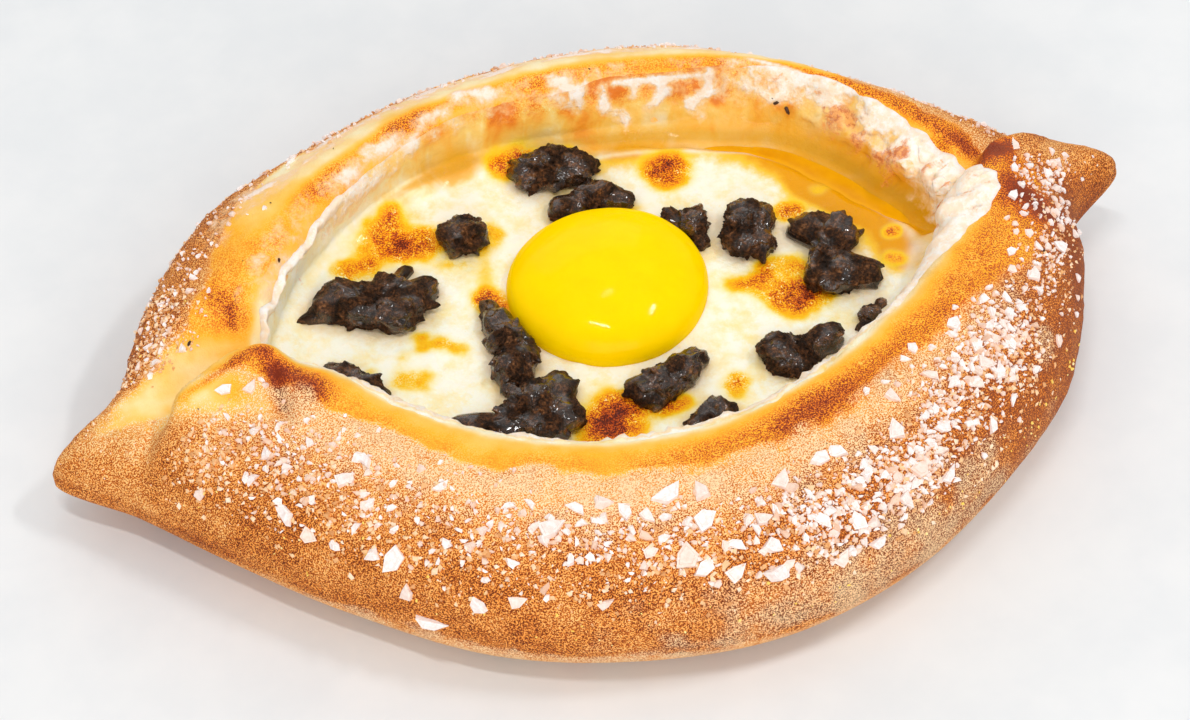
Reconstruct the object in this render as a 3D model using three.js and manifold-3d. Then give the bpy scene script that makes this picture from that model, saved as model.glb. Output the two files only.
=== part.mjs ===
// A boat-shaped khachapuri: a leavened bread whose two rolled sides meet in a
// pinched tip at each end, round a pool of baked cheese that carries one raw
// egg yolk and fourteen dark crumbly clumps, with coarse salt on the crust.
//
// Frame: millimetres. The bread stands on Z = 0, +Z is up, +X runs along the
// long axis to the higher tip, -Y is the broad front roll, and the origin lies
// on the flat underside, in the middle between the two tips.
import * as THREE from 'three';
import Module from 'manifold-3d';

const wasm = await Module();
wasm.setup();

// ---------------------------------------------------------------- dimensions
const POOL = 22;            // level of the cheese pool
const FLOOR = 9;            // floor of the hollow, under the cheese
const FLOOR_DROP = 6;       // inward run of the hollow's wall below the pool
const CENTRE = [2, 12];     // middle of the hollow in plan
const FOOT_CENTRE = [0, 2]; // middle of the flat underside in plan
const GAP = 0.6;            // clearance between two separate foods

// The plan of the boat at 24 stations, counter-clockwise from the right tip:
// [belly x, belly y, lip x, lip y, wall run, cheese edge]. The belly is the
// widest line of the roll and the lip its inner edge, round the hollow. The
// wall run is how far inward the wall has gone at the pool's level. The cheese
// edge is where the thin baked cheese ends on the crust: 8 is the lip, 7 the
// crest of the roll, and above 8 it ends inside the wall.
const STATIONS = [
  [122, 6, 84, 5, 8, 7.7],
  [111, 16, 83, 10, 8, 7.9],
  [96, 27, 78, 19, 7, 7.85],
  [80.5, 42, 70, 32, 6, 7.7],
  [61.5, 57, 58, 45, 6, 7.6],
  [38, 75, 35, 55, 6, 7.65],
  [8, 81, 8, 60, 4, 7.7],
  [-22, 80, -20, 60, 2, 7.75],
  [-50, 73, -43, 51, 0, 7.85],
  [-78, 62, -63, 36, 0, 7.9],
  [-99.5, 40, -74, 22, 1, 7.95],
  [-110, 21, -78, 15, 2, 7.95],
  [-126, 10, -78, 11, 3, 8.0],
  [-112, -5, -75, 8, 3, 8.25],
  [-96.5, -23.5, -66, 0, 3, 8.25],
  [-78, -43, -55, -13, 1, 8.25],
  [-52, -64, -39, -28, 1, 8.25],
  [-22, -76, -18, -38, 1, 8.25],
  [8, -80, 6, -40, 1, 8.25],
  [38, -74, 30, -34, 1, 8.25],
  [65, -60, 52, -24, 1, 8.05],
  [89, -41, 70, -12, 3, 7.7],
  [103, -18, 80, -4, 6, 7.35],
  [108, -3, 84, 0, 8, 7.2],
];
const N = STATIONS.length;

// Heights and insets of the roll's section: along the sides, at the left tip
// and at the right tip.
const SECTION = {
  crest: [37.5, 32, 35],
  lip: [34, 31, 33],
  shoulder: [35, 26, 32],
  flank: [28, 20.5, 29],
  belly: [15, 14.5, 24],
  under: [4, 8, 17],
  footInset: [13, 34, 40],
  underInset: [4, 3, 4],
};
// How much of each tip's section a station takes, by its distance from the tip.
const TIP_SHARE = [1, 0.5, 0.12];

// The two seams, where the end of the front roll laps over the back roll: the
// seam's line y(x), the stretch of x it fades in and out over, how far the
// front roll's edge rises and how deep the valley behind it is.
const SEAMS = [
  {
    line: (x) => 12.5 - 0.02 * (x + 80) ** 2,
    slope: (x) => -0.04 * (x + 80),
    span: [-112, -98, -78, -70], rise: 3.2, valley: 4,
  },
  {
    line: (x) => 13 - 17 * Math.exp(-(x - 80) / 5.5),
    slope: (x) => 3.09 * Math.exp(-(x - 80) / 5.5),
    span: [82, 90, 98, 110], rise: 3.2, valley: 4,
  },
];

// Grid of the crust: columns to a station near the tips and elsewhere, and the
// rows from the middle of the underside over the roll to the hollow's middle.
const TIP_COLUMNS = 5;
const SIDE_COLUMNS = 3;
const ROWS = [0, 2, 2.6, 3.2, 3.75, 4.3, 4.85, 5.4, 5.95, 6.4, 6.8, 7.2, 7.6, 8,
  8.4, 9, 9.5, 10, 12];

// The cheese: thickness of its edge and of the film on the wall, and how far
// it climbs in the corner between the pool and the wall.
const FILM_EDGE = 0.9;
const FILM = 2.1;
const CLIMB = 3;
const CLIMB_WIDTH = 3;

const YOLK = { x: 0.2, y: 11.6, z: 22.6, rx: 22.4, ry: 22.2, rz: 10.4 };

// The clumps, as rounded lobes [x, y, radius] run together.
const CLUMPS = {
  clump_back: [[-6, 49.5, 3.8], [-1, 49, 5], [4, 47.5, 4.6], [7.5, 48, 2.2]],
  clump_behind_yolk: [[-1.5, 36.5, 3.2], [4, 37.5, 3.2], [9, 37, 3.2], [12.5, 35, 2.4]],
  clump_nub: [[-26.5, 36, 4.4], [-24, 35.5, 3.8], [-23.5, 40.5, 1.2]],
  clump_wide_left: [[-64, 25, 1.6], [-60.5, 26, 3.2], [-56.5, 27, 4.4],
    [-53.5, 23.5, 4.6], [-50, 21.5, 3.8], [-45.5, 26, 4], [-46.5, 19, 4.6],
    [-42, 21.5, 3.8], [-38, 24.5, 2.8], [-41, 31, 1.6]],
  clump_tall_left: [[-26.5, 14.5, 2], [-26.5, 9.5, 3.2], [-26, 3.5, 4],
    [-24, -0.5, 3.2], [-27.5, -4, 4.4], [-30, -9, 1.6]],
  clump_wide_front: [[-42, -15.5, 2.6], [-39, -17, 3.2], [-35, -19.5, 3.6],
    [-31, -17.5, 3.6], [-26.5, -16.5, 5.2], [-21, -13.5, 4], [-22.5, -20.5, 4.4],
    [-27.5, -22.5, 4]],
  clump_under_yolk: [[10.5, -14.5, 2.8], [6, -17.5, 3.8], [1, -19, 4],
    [-3.5, -18.5, 2.8], [-2, -22.5, 2.2]],
  clump_front: [[10.5, -28.5, 2.4], [3.5, -31.5, 2], [13, -30, 1.4], [7, -31, 2.8]],
  clump_front_right: [[28.5, -19.5, 4.2], [39, -19.5, 3.6], [30, -24, 3],
    [34, -21, 3.2]],
  clump_by_yolk: [[20.5, 26, 2.2], [24.2, 22, 3.4], [26, 25, 2], [24.5, 17.5, 1.8]],
  clump_right: [[36, 18.5, 4.8], [32.5, 14.5, 4], [36, 11.5, 3.4], [39.5, 18.5, 3.2]],
  clump_wide_right: [[46, 13, 2.8], [50, 12.5, 3.2], [53.5, 7.5, 4.2],
    [48, 2, 3.8], [45, -2.5, 3.6], [50.5, -3, 4.4], [55, -4.5, 3.2]],
  clump_edge_right: [[51.5, -16, 2.4], [48.5, -18.5, 1.4], [55, -13.5, 1.4]],
  clump_edge_left: [[-64, 7.5, 2], [-61.5, 6.5, 2.2], [-60.5, 3, 2],
    [-58, 0.5, 2.2], [-56, -2, 1.2]],
};
const CLUMP_GROW = 1.1;   // all lobes are this much larger than listed
const CLUMP_RISE = 0.45;  // height of a lobe's middle over the pool, in radii
const CLUMP_HEIGHT = 0.8; // vertical half-axis of a lobe, in radii
const CLUMP_BLEND = 2.2;  // how sharply the lobes run together
const CLUMP_CRAG = 0.07;  // uneven share of a lobe's size

// Coarse salt on the crust, by zone: [first station, last station, first row,
// last row, number of flakes, least and greatest half-width].
const SALT_ZONES = [
  [19, 22.6, 4.7, 6.9, 46, 0.8, 2.3],
  [16.4, 19, 4.8, 6.4, 14, 0.8, 2.5],
  [13.4, 16.4, 4.8, 6.9, 22, 0.7, 2.2],
  [22.6, 24.4, 5.0, 7.0, 11, 0.8, 1.9],
  [8.6, 11.3, 4.8, 6.8, 12, 0.7, 1.6],
  [2.4, 8.6, 4.8, 6.3, 12, 0.6, 1.4],
];
const SALT_SEED = 20;
const SALT_CLEAR = 1.4;   // clearance of a flake from the cheese's edge

// ------------------------------------------------------------ small functions
const smooth = (x, a, b) => {
  const t = THREE.MathUtils.clamp((x - a) / (b - a), 0, 1);
  return t * t * (3 - 2 * t);
};

// A repeatable stream of numbers from 0 to 1.
const stream = (seed) => () => {
  seed = (seed + 0x6d2b79f5) | 0;
  let t = Math.imul(seed ^ (seed >>> 15), 1 | seed);
  t = (t + Math.imul(t ^ (t >>> 7), 61 | t)) ^ t;
  return ((t ^ (t >>> 14)) >>> 0) / 4294967296;
};

// ------------------------------------------------------------------ the crust
// Closed rings of points, one for each row number of the section.
function makeRings() {
  const rings = Array.from({ length: 13 }, () => []);
  STATIONS.forEach(([bx, by, lx, ly, run], k) => {
    const toRight = TIP_SHARE[Math.min(k, N - k)] ?? 0;
    const toLeft = TIP_SHARE[Math.abs(k - N / 2)] ?? 0;
    const mix = ([side, left, right]) =>
      side + (left - side) * toLeft + (right - side) * toRight;
    const belly = new THREE.Vector2(bx, by);
    const lip = new THREE.Vector2(lx, ly);
    const across = lip.clone().sub(belly);
    const inset = across.clone().normalize();
    const centre = new THREE.Vector2(...CENTRE);
    const inward = centre.clone().sub(lip).normalize();
    const foot = belly.clone().addScaledVector(inset, mix(SECTION.footInset));
    const footCentre = new THREE.Vector2(...FOOT_CENTRE);
    const tilt = THREE.MathUtils.clamp((by - 8) / 60, -1, 1);
    const put = (row, p, z) => rings[row].push(new THREE.Vector3(p.x, p.y, z));
    const between = (a, b, t) => a.clone().lerp(b, t);
    put(0, footCentre, 0);
    put(1, between(footCentre, foot, 0.6), 0);
    put(2, foot, 0);
    put(3, belly.clone().addScaledVector(inset, mix(SECTION.underInset)), mix(SECTION.under));
    put(4, belly, mix(SECTION.belly));
    put(5, between(belly, lip, 0.12), mix(SECTION.flank));
    put(6, between(belly, lip, 0.42), mix(SECTION.shoulder));
    put(7, between(belly, lip, 0.76), mix([SECTION.crest[0] + tilt, SECTION.crest[1], SECTION.crest[2]]));
    put(8, lip, mix(SECTION.lip));
    put(9, lip.clone().addScaledVector(inward, run), POOL - 1);
    put(10, lip.clone().addScaledVector(inward, run + FLOOR_DROP), FLOOR + 2);
    put(11, between(centre, lip, 0.45), FLOOR);
    put(12, centre, FLOOR);
  });
  return rings.map((ring) => new THREE.CatmullRomCurve3(ring, true, 'catmullrom', 0.5));
}
const RINGS = makeRings();

// Height that the two seams add at a point: a raised edge on the front roll's
// side and a valley on the other.
function seamRelief(x, y) {
  return SEAMS.reduce((sum, { line, slope, span, rise, valley }) => {
    const s = (line(x) - y) / Math.hypot(1, slope(x));
    const front = smooth(s, -2.4, 2.8);
    const up = rise * front * Math.exp(-((Math.max(s, 0) / 12) ** 2));
    const down = valley * (1 - front) * Math.exp(-((Math.min(s, 0) / 8) ** 2));
    const along = smooth(x, span[0], span[1]) * (1 - smooth(x, span[2], span[3]));
    return sum + (up - down) * along;
  }, 0);
}

// The crust's section at a station, as a curve over the row numbers 0 to 12.
const sections = new Map();
function section(u) {
  const t = (((u % N) + N) % N) / N;
  if (!sections.has(t)) {
    sections.set(t, new THREE.CatmullRomCurve3(
      RINGS.map((ring) => ring.getPoint(t)), false, 'catmullrom', 0.5));
  }
  return sections.get(t);
}

// A point of the crust's surface, by station u and row v.
function crust(u, v) {
  const p = section(u).getPoint(Math.min(v, 12) / 12);
  const share = smooth(v, 4.2, 5.2) * (1 - smooth(v, 8, 8.8));
  p.z = Math.max(p.z + share * seamRelief(p.x, p.y), 0);
  return p;
}

function crustNormal(u, v) {
  if (v > 11.9) return new THREE.Vector3(0, 0, 1);
  const e = 0.02;
  const du = crust(u + e, v).sub(crust(u - e, v));
  const dv = crust(u, v + e).sub(crust(u, v - e));
  return du.cross(dv).normalize();
}
// A point at a distance off the flat faces between the rows of the grid.
function offCrust(u, v, d) {
  const j = Math.max(ROWS.findIndex((row) => row >= v), 1);
  const t = (v - ROWS[j - 1]) / (ROWS[j] - ROWS[j - 1]);
  return crust(u, ROWS[j - 1]).lerp(crust(u, ROWS[j]), t).addScaledVector(crustNormal(u, v), d);
}

const COLUMNS = [];
for (let k = 0; k < N; k++) {
  const fromTip = Math.min(Math.abs(k + 0.5), Math.abs(k + 0.5 - N / 2), Math.abs(k + 0.5 - N));
  const parts = fromTip < 2.6 ? TIP_COLUMNS : SIDE_COLUMNS;
  for (let i = 0; i < parts; i++) COLUMNS.push(k + i / parts);
}

// ------------------------------------------------------- meshes and booleans
// A closed body from rows of equal length between two poles, in the order that
// turns its faces outward.
function capped(first, rows, last) {
  const points = [first, ...rows.flat(), last];
  const n = rows[0].length;
  const at = (r, i) => 1 + r * n + (i % n);
  const faces = [];
  for (let i = 0; i < n; i++) faces.push(0, at(0, i + 1), at(0, i));
  for (let r = 0; r + 1 < rows.length; r++) {
    for (let i = 0; i < n; i++) {
      faces.push(at(r, i), at(r, i + 1), at(r + 1, i + 1));
      faces.push(at(r, i), at(r + 1, i + 1), at(r + 1, i));
    }
  }
  for (let i = 0; i < n; i++) faces.push(points.length - 1, at(rows.length - 1, i), at(rows.length - 1, i + 1));
  return solid(points, faces);
}

function solid(points, faces) {
  return new wasm.Manifold(new wasm.Mesh({
    numProp: 3,
    vertProperties: new Float32Array(points.flatMap((p) => [p.x, p.y, p.z])),
    triVerts: new Uint32Array(faces),
  }));
}

// The largest body of a solid: loose scraps from a cut are dropped.
const largest = (body) =>
  body.decompose().reduce((a, b) => (a.volume() > b.volume() ? a : b));

function toMesh(name, body, color, roughness) {
  const { vertProperties, triVerts } = largest(body).getMesh();
  const geometry = new THREE.BufferGeometry();
  geometry.setAttribute('position', new THREE.BufferAttribute(new Float32Array(vertProperties), 3));
  geometry.setIndex(new THREE.BufferAttribute(new Uint32Array(triVerts), 1));
  geometry.computeVertexNormals();
  const material = new THREE.MeshStandardMaterial({ color, roughness, metalness: 0 });
  const mesh = new THREE.Mesh(geometry, material);
  mesh.name = name;
  return mesh;
}

// --------------------------------------------------------------------- bread
function makeLoaf() {
  const rows = ROWS.slice(1, -1).map((v) => COLUMNS.map((u) => crust(u, v)));
  return capped(crust(0, 0), rows, crust(0, 12));
}

// Where the cheese ends at a station.
const edgeCurve = new THREE.CatmullRomCurve3(
  STATIONS.map((s) => new THREE.Vector3(s[5], 0, 0)), true, 'catmullrom', 0.5);
const cheeseEdge = (u) => edgeCurve.getPoint((((u % N) + N) % N) / N).x;

// Places of the salt flakes: the largest first, spread evenly over each zone,
// clear of each other, of the cheese and of the ground.
function saltPlaces() {
  const random = stream(SALT_SEED);
  const placed = [];
  for (const [u0, u1, v0, v1, count, least, greatest] of SALT_ZONES) {
    for (let i = 0; i < count; i++) {
      const size = greatest + (least - greatest) * Math.sqrt(i / count);
      for (let attempt = 0; attempt < 40; attempt++) {
        const u = u0 + (u1 - u0) * random();
        const v = v0 + (v1 - v0) * random();
        const p = crust(u, v);
        const clear = placed.every((q) => q.p.distanceTo(p) > 0.9 * (q.size + size) + 0.4);
        const offCheese = crust(u, cheeseEdge(u)).distanceTo(p) > size + SALT_CLEAR;
        if (clear && offCheese && p.z > 8) {
          placed.push({ u, v, p, size, turn: random() * 2 * Math.PI, lean: 0.5 * random(), sides: random() });
          break;
        }
      }
    }
  }
  return placed;
}

// A flake is a thin uneven prism of five sides, sunk by half its thickness and
// leaning to one side.
function saltFlake({ u, v, p, size, turn, lean, sides }) {
  const n = 5;
  const normal = crustNormal(u, v);
  const along = new THREE.Vector3(Math.cos(turn), Math.sin(turn), 0);
  along.addScaledVector(normal, -along.dot(normal)).normalize();
  const up = normal.clone().multiplyScalar(Math.cos(lean)).addScaledVector(along, Math.sin(lean)).normalize();
  const x = along.clone().addScaledVector(up, -along.dot(up)).normalize();
  const y = up.clone().cross(x);
  const thick = 0.5 + 0.22 * size;
  const ring = (height, grow) => Array.from({ length: n }, (_, i) => {
    const angle = (2 * Math.PI * i) / n;
    const r = size * grow * (0.82 + 0.3 * Math.cos(2 * angle + 5 * sides) + 0.12 * Math.sin(3 * angle + 9 * sides));
    return p.clone().addScaledVector(up, height)
      .addScaledVector(x, r * Math.cos(angle)).addScaledVector(y, 0.8 * r * Math.sin(angle));
  });
  const low = -0.6 * thick - 0.5 * size * Math.sin(lean);
  const high = 0.65 * thick;
  return capped(p.clone().addScaledVector(up, low), [ring(low, 1), ring(high, 0.9)],
    p.clone().addScaledVector(up, high));
}

const loaf = makeLoaf();
const bread = saltPlaces().reduce((body, place) => body.add(saltFlake(place)), loaf);

// -------------------------------------------------------------------- clumps
const wobble = (x, y, z) => Math.sin(1.9 * x + 0.7 * y + 1.3) * Math.sin(1.5 * y - 1.1 * z)
  + 0.6 * Math.sin(3.1 * x - 2.3 * z + 0.4) * Math.sin(2.7 * y + 1.7 * z);

// Uneven level of the pool.
const ripple = (x, y) => 0.2 * Math.sin(0.16 * x + 0.6) * Math.sin(0.19 * y + 1.1)
  + 0.1 * Math.sin(0.41 * x - 0.23 * y);

// A closed body that is star-shaped about the clump's middle: along each
// direction it reaches out to where the lobes' summed field falls to one. It
// stands on a flat base just above the pool.
function clump(list) {
  const lobes = list.map(([x, y, r]) => [x, y, CLUMP_GROW * r]);
  const weight = lobes.reduce((sum, l) => sum + l[2] ** 2, 0);
  const middle = new THREE.Vector3();
  for (const [x, y, r] of lobes) {
    middle.add(new THREE.Vector3(x, y, POOL + CLUMP_RISE * r).multiplyScalar(r ** 2 / weight));
  }
  const field = (p) => lobes.reduce((sum, [x, y, r]) => {
    const dx = (p.x - x) / r;
    const dy = (p.y - y) / r;
    const dz = (p.z - POOL - CLUMP_RISE * r) / (r * CLUMP_HEIGHT);
    return sum + Math.exp(CLUMP_BLEND * (1 - dx * dx - dy * dy - dz * dz));
  }, 0);
  const base = POOL + GAP + Math.max(...lobes.map(([x, y]) => ripple(x, y)));
  const reach = (polar, turn) => {
    const direction = new THREE.Vector3(
      Math.sin(polar) * Math.cos(turn), Math.sin(polar) * Math.sin(turn), Math.cos(polar));
    let out = 22;
    const at = (d) => middle.clone().addScaledVector(direction, d);
    while (out > 0.5 && field(at(out)) < 1) out -= 0.2;
    const p = at(out);
    const q = at(Math.max(out, 1) * (1 + CLUMP_CRAG * wobble(p.x, p.y, p.z)));
    q.z = Math.max(q.z, base);
    return q;
  };
  const around = 11 + Math.min(9, Math.round(0.8 * Math.sqrt(weight)));
  const levels = weight > 60 ? 6 : 4;
  const lowest = 1.95; // polar angle of the lowest ring, a little below level
  const rows = [];
  for (let j = 0; j < levels; j++) {
    const polar = lowest * (1 - j / levels);
    rows.push(Array.from({ length: around }, (_, i) => reach(polar, (2 * Math.PI * i) / around)));
  }
  return capped(new THREE.Vector3(middle.x, middle.y, base), rows, reach(0, 0));
}

// ---------------------------------------------------------------------- yolk
function yolk() {
  const rows = [];
  const levels = 9;
  const around = 26;
  const at = (polar, turn) => {
    const slack = 1 + 0.012 * Math.sin(2 * turn + 0.6) + 0.01 * Math.sin(3 * turn);
    const flat = Math.cos(polar) < 0 ? 0.75 : 1;
    return new THREE.Vector3(
      YOLK.x + YOLK.rx * slack * Math.sin(polar) * Math.cos(turn),
      YOLK.y + YOLK.ry * slack * Math.sin(polar) * Math.sin(turn),
      YOLK.z + YOLK.rz * flat * Math.cos(polar));
  };
  for (let j = 1; j <= levels; j++) {
    rows.push(Array.from({ length: around }, (_, i) =>
      at(Math.PI * (1 - j / (levels + 1)), (2 * Math.PI * i) / around)));
  }
  return capped(at(Math.PI, 0), rows, at(0, 0));
}

// -------------------------------------------------------------------- cheese
// The film lies on the wall and on part of the crest, the pool fills the
// hollow, and a climbing corner joins the two. The underside follows the crust.
function makeCheese() {
  const wallRow = 8.4;
  const filmRows = [0, 0.4, 1];
  const filmRow = (u, share) => THREE.MathUtils.lerp(cheeseEdge(u), wallRow, share);
  const under = [];
  for (const v of [10, 9.5, 9]) under.push(COLUMNS.map((u) => offCrust(u, v, GAP)));
  for (const share of filmRows.toReversed()) under.push(COLUMNS.map((u) => offCrust(u, filmRow(u, share), GAP)));
  const over = filmRows.map((share) => {
    const thick = share === 0 ? FILM_EDGE : FILM;
    return COLUMNS.map((u) => offCrust(u, filmRow(u, share), GAP + thick));
  });
  const centre = new THREE.Vector2(...CENTRE);
  const poolPoint = (u, inward, share) => {
    const wall = crust(u, 9);
    const from = new THREE.Vector2(wall.x, wall.y);
    const toward = centre.clone().sub(from);
    const reach = toward.length();
    const d = inward + share * (reach - inward);
    const p = from.addScaledVector(toward.divideScalar(reach), d);
    const z = POOL + CLIMB * Math.exp(-(d - 2.4) / CLIMB_WIDTH) + ripple(p.x, p.y);
    return new THREE.Vector3(p.x, p.y, z);
  };
  for (const [inward, share] of [[2.6, 0], [5, 0], [9, 0], [9, 0.5]]) {
    over.push(COLUMNS.map((u) => poolPoint(u, inward, share)));
  }
  const top = new THREE.Vector3(CENTRE[0], CENTRE[1], POOL + ripple(...CENTRE));
  return capped(offCrust(0, 12, GAP), [...under, ...over], top);
}

const cheese = makeCheese();

// What would dip into the cheese is cut off just above it.
const raised = cheese.translate([0, 0, GAP]);
const onCheese = (body) =>
  (body.intersect(cheese).volume() > 0 ? body.subtract(raised) : body);

// -------------------------------------------------------------------- object
const khachapuri = new THREE.Group();
khachapuri.name = 'khachapuri';
khachapuri.add(toMesh('bread', bread, 0xc98a4b, 0.65));
khachapuri.add(toMesh('cheese', cheese, 0xf6e6c0, 0.4));
khachapuri.add(toMesh('yolk', onCheese(yolk()), 0xffd400, 0.15));
for (const [name, lobes] of Object.entries(CLUMPS)) {
  khachapuri.add(toMesh(name, onCheese(clump(lobes)), 0x2b1c15, 0.35));
}

export default khachapuri;
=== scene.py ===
"""The looks of a boat-shaped khachapuri: crust, coarse salt, baked cheese, butter,
one raw egg yolk and fourteen dark clumps. Every shape is worked out in
millimetres, in the part's own frame, and becomes metres when it is made a mesh."""

import math

import bpy
import numpy as np
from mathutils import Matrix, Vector


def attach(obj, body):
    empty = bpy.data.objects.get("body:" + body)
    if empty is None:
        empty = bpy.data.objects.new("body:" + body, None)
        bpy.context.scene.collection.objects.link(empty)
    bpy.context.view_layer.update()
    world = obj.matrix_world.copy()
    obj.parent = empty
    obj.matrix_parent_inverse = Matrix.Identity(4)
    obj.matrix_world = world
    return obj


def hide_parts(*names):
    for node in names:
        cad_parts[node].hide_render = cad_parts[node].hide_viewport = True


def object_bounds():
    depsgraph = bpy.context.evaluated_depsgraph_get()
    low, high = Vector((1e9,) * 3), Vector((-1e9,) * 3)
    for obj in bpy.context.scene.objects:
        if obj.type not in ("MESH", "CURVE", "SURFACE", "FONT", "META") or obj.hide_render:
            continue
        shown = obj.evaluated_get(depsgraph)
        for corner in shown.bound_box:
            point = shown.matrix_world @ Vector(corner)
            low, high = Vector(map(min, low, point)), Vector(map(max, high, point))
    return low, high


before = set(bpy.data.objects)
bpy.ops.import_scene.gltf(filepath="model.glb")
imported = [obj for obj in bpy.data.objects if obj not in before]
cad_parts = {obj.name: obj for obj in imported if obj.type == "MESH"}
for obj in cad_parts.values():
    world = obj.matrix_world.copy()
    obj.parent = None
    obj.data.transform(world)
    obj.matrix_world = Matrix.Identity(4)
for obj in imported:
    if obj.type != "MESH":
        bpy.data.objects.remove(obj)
cad_low, cad_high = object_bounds()

# ---------------------------------------------------------------- dimensions
# Heights of the cheese and of the hollow's floor, how far in the floor begins,
# the middles of the hollow and of the underside, and the clumps' clearance.
POOL = 22.0
FLOOR = 9.0
FLOOR_DROP = 6.0
CENTRE = np.array([2.0, 12.0])
FOOT_CENTRE = np.array([0.0, 2.0])
GAP = 0.6
# How far inside the part's own box every piece stays.
MARGIN = 0.02

# Plan of the boat at 24 stations, counter-clockwise from the right tip:
# [belly x, belly y, lip x, lip y, wall run, row where the cheese ends].
STATIONS = np.array([
    [122, 6, 84, 5, 8, 7.7], [111, 16, 83, 10, 8, 7.9],
    [96, 27, 78, 19, 7, 7.85], [80.5, 42, 70, 32, 6, 7.7],
    [61.5, 57, 58, 45, 6, 7.6], [38, 75, 35, 55, 6, 7.65],
    [8, 81, 8, 60, 4, 7.7], [-22, 80, -20, 60, 2, 7.75],
    [-50, 73, -43, 51, 0, 7.85], [-78, 62, -63, 36, 0, 7.9],
    [-99.5, 40, -74, 22, 1, 7.95], [-110, 21, -78, 15, 2, 7.95],
    [-126, 10, -78, 11, 3, 8.0], [-112, -5, -75, 8, 3, 8.25],
    [-96.5, -23.5, -66, 0, 3, 8.25], [-78, -43, -55, -13, 1, 8.25],
    [-52, -64, -39, -28, 1, 8.25], [-22, -76, -18, -38, 1, 8.25],
    [8, -80, 6, -40, 1, 8.25], [38, -74, 30, -34, 1, 8.25],
    [65, -60, 52, -24, 1, 8.05], [89, -41, 70, -12, 3, 7.7],
    [103, -18, 80, -4, 6, 7.35], [108, -3, 84, 0, 8, 7.2],
])
N = len(STATIONS)

# Heights and insets of the roll: along the sides, at the left tip, at the right.
SECTION = dict(
    crest=(37.5, 32, 35), lip=(34, 31, 33), shoulder=(35, 26, 32),
    flank=(28, 20.5, 29), belly=(15, 14.5, 24), under=(4, 8, 17),
    foot_inset=(13, 34, 40), under_inset=(4, 3, 4),
)
TIP_SHARE = (1, 0.5, 0.12)

# The seams: line y(x) and its slope, the stretch of x, rise and valley.
SEAMS = (
    (lambda x: 12.5 - 0.02 * (x + 80) ** 2, lambda x: -0.04 * (x + 80),
     (-112, -98, -78, -70)),
    (lambda x: 13 - 17 * np.exp(-(x - 80) / 5.5),
     lambda x: 3.09 * np.exp(-(x - 80) / 5.5), (82, 90, 98, 110)),
)
SEAM_RISE = 3.2
SEAM_VALLEY = 4.0


# ------------------------------------------------------------ small functions
def smooth(x, a, b):
    """0 below a, 1 above b, and the cubic 3t^2 - 2t^3 between them."""
    t = np.clip((x - a) / (b - a), 0, 1)
    return t * t * (3 - 2 * t)


def between(x, a, b, c, d):
    """Rises from 0 at a to 1 at b, and falls from 1 at c to 0 at d."""
    return smooth(x, a, b) * (1 - smooth(x, c, d))


def unit(vectors):
    return vectors / np.maximum(np.linalg.norm(vectors, axis=-1, keepdims=True), 1e-9)


def through(a, b, c, d, t):
    """The uniform Catmull-Rom cubic from b to c, with neighbours a and d."""
    return 0.5 * (2 * b + (c - a) * t + (2 * a - 5 * b + 4 * c - d) * t ** 2
                  + (3 * b - a - 3 * c + d) * t ** 3)


def round_stations(values, u):
    """values[station, ...] as a closed smooth curve, read at the stations u."""
    whole = np.floor(u).astype(int)
    t = (u - whole).reshape((-1,) + (1,) * (values.ndim - 1))
    return through(*(values[(whole + k) % N] for k in (-1, 0, 1, 2)), t)


# ------------------------------------------------------------------ the crust
def make_rings():
    """Thirteen closed rings of 24 points: two on the flat underside, up the
    roll by the belly, flank, shoulder and crest to the lip, and down the wall."""
    station = np.arange(N)
    share = np.zeros((2, N))
    for away, amount in enumerate(TIP_SHARE):
        for tip, middle in enumerate((N // 2, 0)):
            share[tip][(middle + away) % N] = share[tip][(middle - away) % N] = amount

    def mix(key):
        side, left, right = SECTION[key]
        return side + (left - side) * share[0] + (right - side) * share[1]

    belly, lip, run = STATIONS[:, :2], STATIONS[:, 2:4], STATIONS[:, 4:5]
    inset, inward = unit(lip - belly), unit(CENTRE - lip)
    foot = belly + inset * mix("foot_inset")[:, None]
    side, left, right = SECTION["crest"]
    tilted = np.clip((belly[:, 1] - 8) / 60, -1, 1)
    crest = (side + tilted) + (left - side - tilted) * share[0] + (right - side - tilted) * share[1]
    flat = np.ones((N, 1))
    rows = [
        (FOOT_CENTRE * flat, 0 * station),
        (FOOT_CENTRE + 0.6 * (foot - FOOT_CENTRE), 0 * station),
        (foot, 0 * station),
        (belly + inset * mix("under_inset")[:, None], mix("under")),
        (belly, mix("belly")),
        (belly + 0.12 * (lip - belly), mix("flank")),
        (belly + 0.42 * (lip - belly), mix("shoulder")),
        (belly + 0.76 * (lip - belly), crest),
        (lip, mix("lip")),
        (lip + inward * run, (POOL - 1) * flat[:, 0]),
        (lip + inward * (run + FLOOR_DROP), (FLOOR + 2) * flat[:, 0]),
        (CENTRE + 0.45 * (lip - CENTRE), FLOOR * flat[:, 0]),
        (CENTRE * flat, FLOOR * flat[:, 0]),
    ]
    return np.array([np.column_stack(row) for row in rows])


RINGS = make_rings()


def seam_relief(x, y):
    """Each seam lifts the front roll's edge and sinks a valley behind it: both
    fall off as exp(-(s/width)^2) of the distance s from the seam's line."""
    total = 0
    for line, slope, (a, b, c, d) in SEAMS:
        s = (line(x) - y) / np.hypot(1, slope(x))
        front = smooth(s, -2.4, 2.8)
        up = SEAM_RISE * front * np.exp(-(np.maximum(s, 0) / 12) ** 2)
        down = SEAM_VALLEY * (1 - front) * np.exp(-(np.minimum(s, 0) / 8) ** 2)
        total = total + (up - down) * smooth(x, a, b) * (1 - smooth(x, c, d))
    return total


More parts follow.
